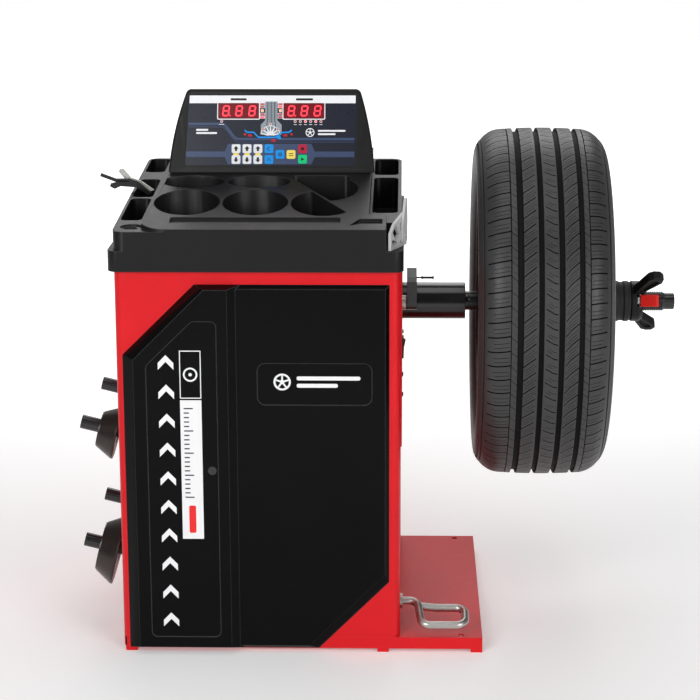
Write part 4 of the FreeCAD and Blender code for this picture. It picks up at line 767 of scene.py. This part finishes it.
# --- front panel artwork ---
class Wall:
    """Flat artwork on the front panel: x and z in millimetres from the panel's lower left corner."""

    def __init__(self):
        self.low, self.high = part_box("front_panel")
        node = NODES["front_panel"]
        self.mesh = node.data
        self.tree = None

    def depth(self, x, z):
        """Where the panel's front is at this place."""
        if self.tree is None:
            self.tree = BVHTree.FromPolygons([v.co for v in self.mesh.vertices],
                                             [tuple(p.vertices) for p in self.mesh.polygons])
        start = Vector((x, self.low.y - 0.1, z))
        return self.tree.ray_cast(start, Vector((0, 1, 0)))[0].y

    def print(self, name, polygons, material, lift=0.15):
        vertices, faces = [], []
        for polygon in polygons:
            first = len(vertices)
            for x, z in polygon:
                px, pz = self.low.x + x * MM, self.low.z + z * MM
                vertices.append((px, self.depth(px, pz) - lift * MM, pz))
            faces.append(tuple(range(first, first + len(polygon))))
        piece(name, vertices, faces, material, "cabinet")


def make_panel_artwork():
    """Generic stripes in the tall field and a plain wheel sign in the small one."""
    wall = Wall()
    stripes = []
    for step in range(10):
        z = 46.0 + 52.0 * step
        stripes.append([(63.0, z), (76.5, z + 14.0), (76.5, z + 26.0), (63.0, z + 12.0)])
        stripes.append([(76.5, z + 14.0), (90.0, z), (90.0, z + 12.0), (76.5, z + 26.0)])
    wall.print("panel_chevrons", stripes, "decal_white")
    plate = [rectangle(100.0, 209.0, 137.0, 460.0)]
    border = [rectangle(100.0, 463.0, 137.0, 464.6), rectangle(100.0, 546.4, 137.0, 548.0),
              rectangle(100.0, 464.6, 101.6, 546.4), rectangle(135.4, 464.6, 137.0, 546.4)]
    border += ring_parts(118.5, 505.5, 9.5, 12.5, 36) + [disc(118.5, 505.5, 3.0)]
    wall.print("panel_plate", plate + border, "decal_white")
    ticks = []
    for step in range(21):
        reach = 16.0 if step % 5 == 0 else 9.0
        z = 284.0 + 8.0 * step
        ticks.append([(106.0, z), (106.0 + reach, z), (106.0 + reach, z + 2.2), (106.0, z + 2.2)])
    wall.print("panel_scale", ticks, "print_black", 0.3)
    wall.print("panel_red_bar", [rounded(112.0, 220.0, 124.0, 270.0, 3.0)], "decal_red", 0.3)
    badge = ring_parts(276.0, 490.0, 11.5, 15.0, 36) + ring_parts(276.0, 490.0, 0.0, 4.0, 16)
    for turn in range(5):
        angle = math.radians(90 + 72 * turn)
        direction = Vector((math.cos(angle), math.sin(angle)))
        across = Vector((-direction.y, direction.x)) * 1.5
        middle = Vector((276.0, 490.0))
        badge.append([tuple(middle + direction * 3.6 + across), tuple(middle + direction * 3.6 - across),
                      tuple(middle + direction * 12.0 - across), tuple(middle + direction * 12.0 + across)])
    badge += [rounded(301.0, 493.0, 411.0, 500.0, 3.0), rounded(301.0, 480.0, 372.0, 487.0, 3.0)]
    wall.print("panel_badge", badge, "decal_white")


def soften(name, width):
    """Round the sharp edges of a moulded or folded piece so that they catch the light."""
    node = NODES[name]
    weld = node.modifiers.new("weld", "WELD")
    weld.merge_threshold = 0.02 * MM
    bevel = node.modifiers.new("soft edges", "BEVEL")
    bevel.limit_method = "ANGLE"
    bevel.angle_limit = math.radians(28)
    bevel.width = width * MM
    bevel.segments = 3
    bevel.harden_normals = True


make_materials()

for entry in frame["record"]["subparts"]:
    node = NODES[entry["node"]]
    node.data.materials.clear()
    node.data.materials.append(MATERIALS[entry["material_slot"]])

for name, width in (("weight_tray", 2.4), ("front_panel", 1.6), ("console_housing", 1.2), ("base_pan", 1.0)):
    soften(name, width)

make_tyre()
make_console_print()
make_panel_artwork()
make_camera()
make_stage()
